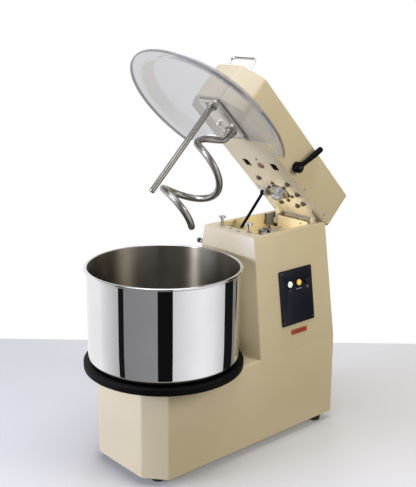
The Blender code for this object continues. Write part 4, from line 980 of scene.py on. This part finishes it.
def reflection_band():
    """A ring of light and shade round the bowl, seen only in reflections: angle from the camera and grey."""
    tones = ((-180, 0.95), (-92, 0.95), (-84, 0.80), (-72, 0.66), (-57.4, 0.50), (-57.4, 0.01), (-49.2, 0.01),
             (-49.2, 0.25), (-4.6, 0.28), (-4.6, 0.006), (14.2, 0.006), (14.2, 0.70), (38, 0.90), (54, 0.97),
             (70, 0.90), (91.9, 0.62), (91.9, 0.01), (113, 0.01), (113, 0.24), (121.7, 0.22), (121.7, 0.05),
             (150, 0.05), (150, 0.60), (180, 0.60))
    reach, low, high, spacing = 0.70, -0.05, 1.0, 4
    centre = Vector((BOWL_AXIS.x, BOWL_AXIS.y, 0))
    work = bmesh.new()
    tone = work.verts.layers.float_color.new("tone")
    columns = []
    for (start, grey), (end, next_grey) in zip(tones, tones[1:]):
        steps = max(1, round((end - start) / spacing))
        for i in range(steps + 1):
            share = i / steps
            angle = CAMERA_AZ + radians(start + (end - start) * share)
            foot = centre + Vector((sin(angle), -cos(angle), 0)) * reach
            column = [work.verts.new(foot + Vector((0, 0, z))) for z in (low, high)]
            value = grey + (next_grey - grey) * share
            for corner in column:
                corner[tone] = (value, value, value * 1.02, 1.0)
            columns.append((column, i))
    for (a, _), (b, number) in zip(columns, columns[1:]):
        if number:
            work.faces.new((a[0], b[0], b[1], a[1]))
    surface = emission("reflection_band", (1, 1, 1), 1.0)
    colour = surface.node_tree.nodes.new("ShaderNodeAttribute")
    colour.attribute_name = "tone"
    surface.node_tree.links.new(colour.outputs["Color"], surface.node_tree.nodes["Emission"].inputs["Color"])
    item = stage_object("reflection_band", to_mesh(work, turn_outward=False), surface)
    item.visible_camera = item.visible_diffuse = item.visible_shadow = item.visible_transmission = False


def area(name, place, target, size, power, colour=(1, 1, 1)):
    data = bpy.data.lights.new(name, "AREA")
    data.shape = "RECTANGLE"
    data.size, data.size_y = size
    data.energy = power
    data.color = colour
    item = bpy.data.objects.new(name, data)
    scene.collection.objects.link(item)
    item.location = place
    item.rotation_euler = (Vector(target) - Vector(place)).to_track_quat("-Z", "Y").to_euler()
    return item


def lights():
    area("key_front", (-1.2, -3.6, 0.8), (0, 0, 0.6), (1.6, 1.6), 114, (0.92, 0.97, 1.26))
    area("top_soft", (0.0, -0.2, 3.6), (0, 0, 0.3), (2.6, 2.6), 62, (0.96, 0.99, 1.14))
    area("side_fill", (2.6, 1.2, 1.9), (0, 0.2, 0.5), (1.5, 1.5), 40, (1, 0.93, 0.78))
    area("back_left", (-2.6, 2.4, 2.2), (0, 0, 0.6), (1.4, 1.4), 18)
    glint = area("bowl_glint", (-0.22, -3.4, 2.8), (0, BOWL_AXIS.y, 0.45), (0.4, 0.4), 100)
    glint.visible_diffuse = glint.visible_camera = False
    inside = BOWL_AXIS.y + 0.400
    glow = area("opening_glow", (0.092, inside, 0.572), (-0.10, inside - 0.03, 0.565), (0.05, 0.015), 0.30,
                (1, 0.88, 0.62))
    glow.visible_camera = glow.visible_glossy = False
    world = scene.world or bpy.data.worlds.new("world")
    scene.world = world
    world.use_nodes = True
    background = world.node_tree.nodes["Background"]
    background.inputs["Color"].default_value = (1.0, 0.94, 0.82, 1.0)
    background.inputs["Strength"].default_value = 0.29
    scene.view_settings.view_transform = "Standard"


# ================================================================= assembly
camera()
finish_cad_nodes()
bowl()
turntable()
lid()
mounting_plate()
breaker_bar()
spiral()
lift_handle()
latch_lever()
closing_bumper()
head_hardware()
strut()
control_panel()
buttons()
badge()
deck_hardware()
side_stop()
feet()
rear_details()
underside()
floor()
surround()
reflection_band()
lights()
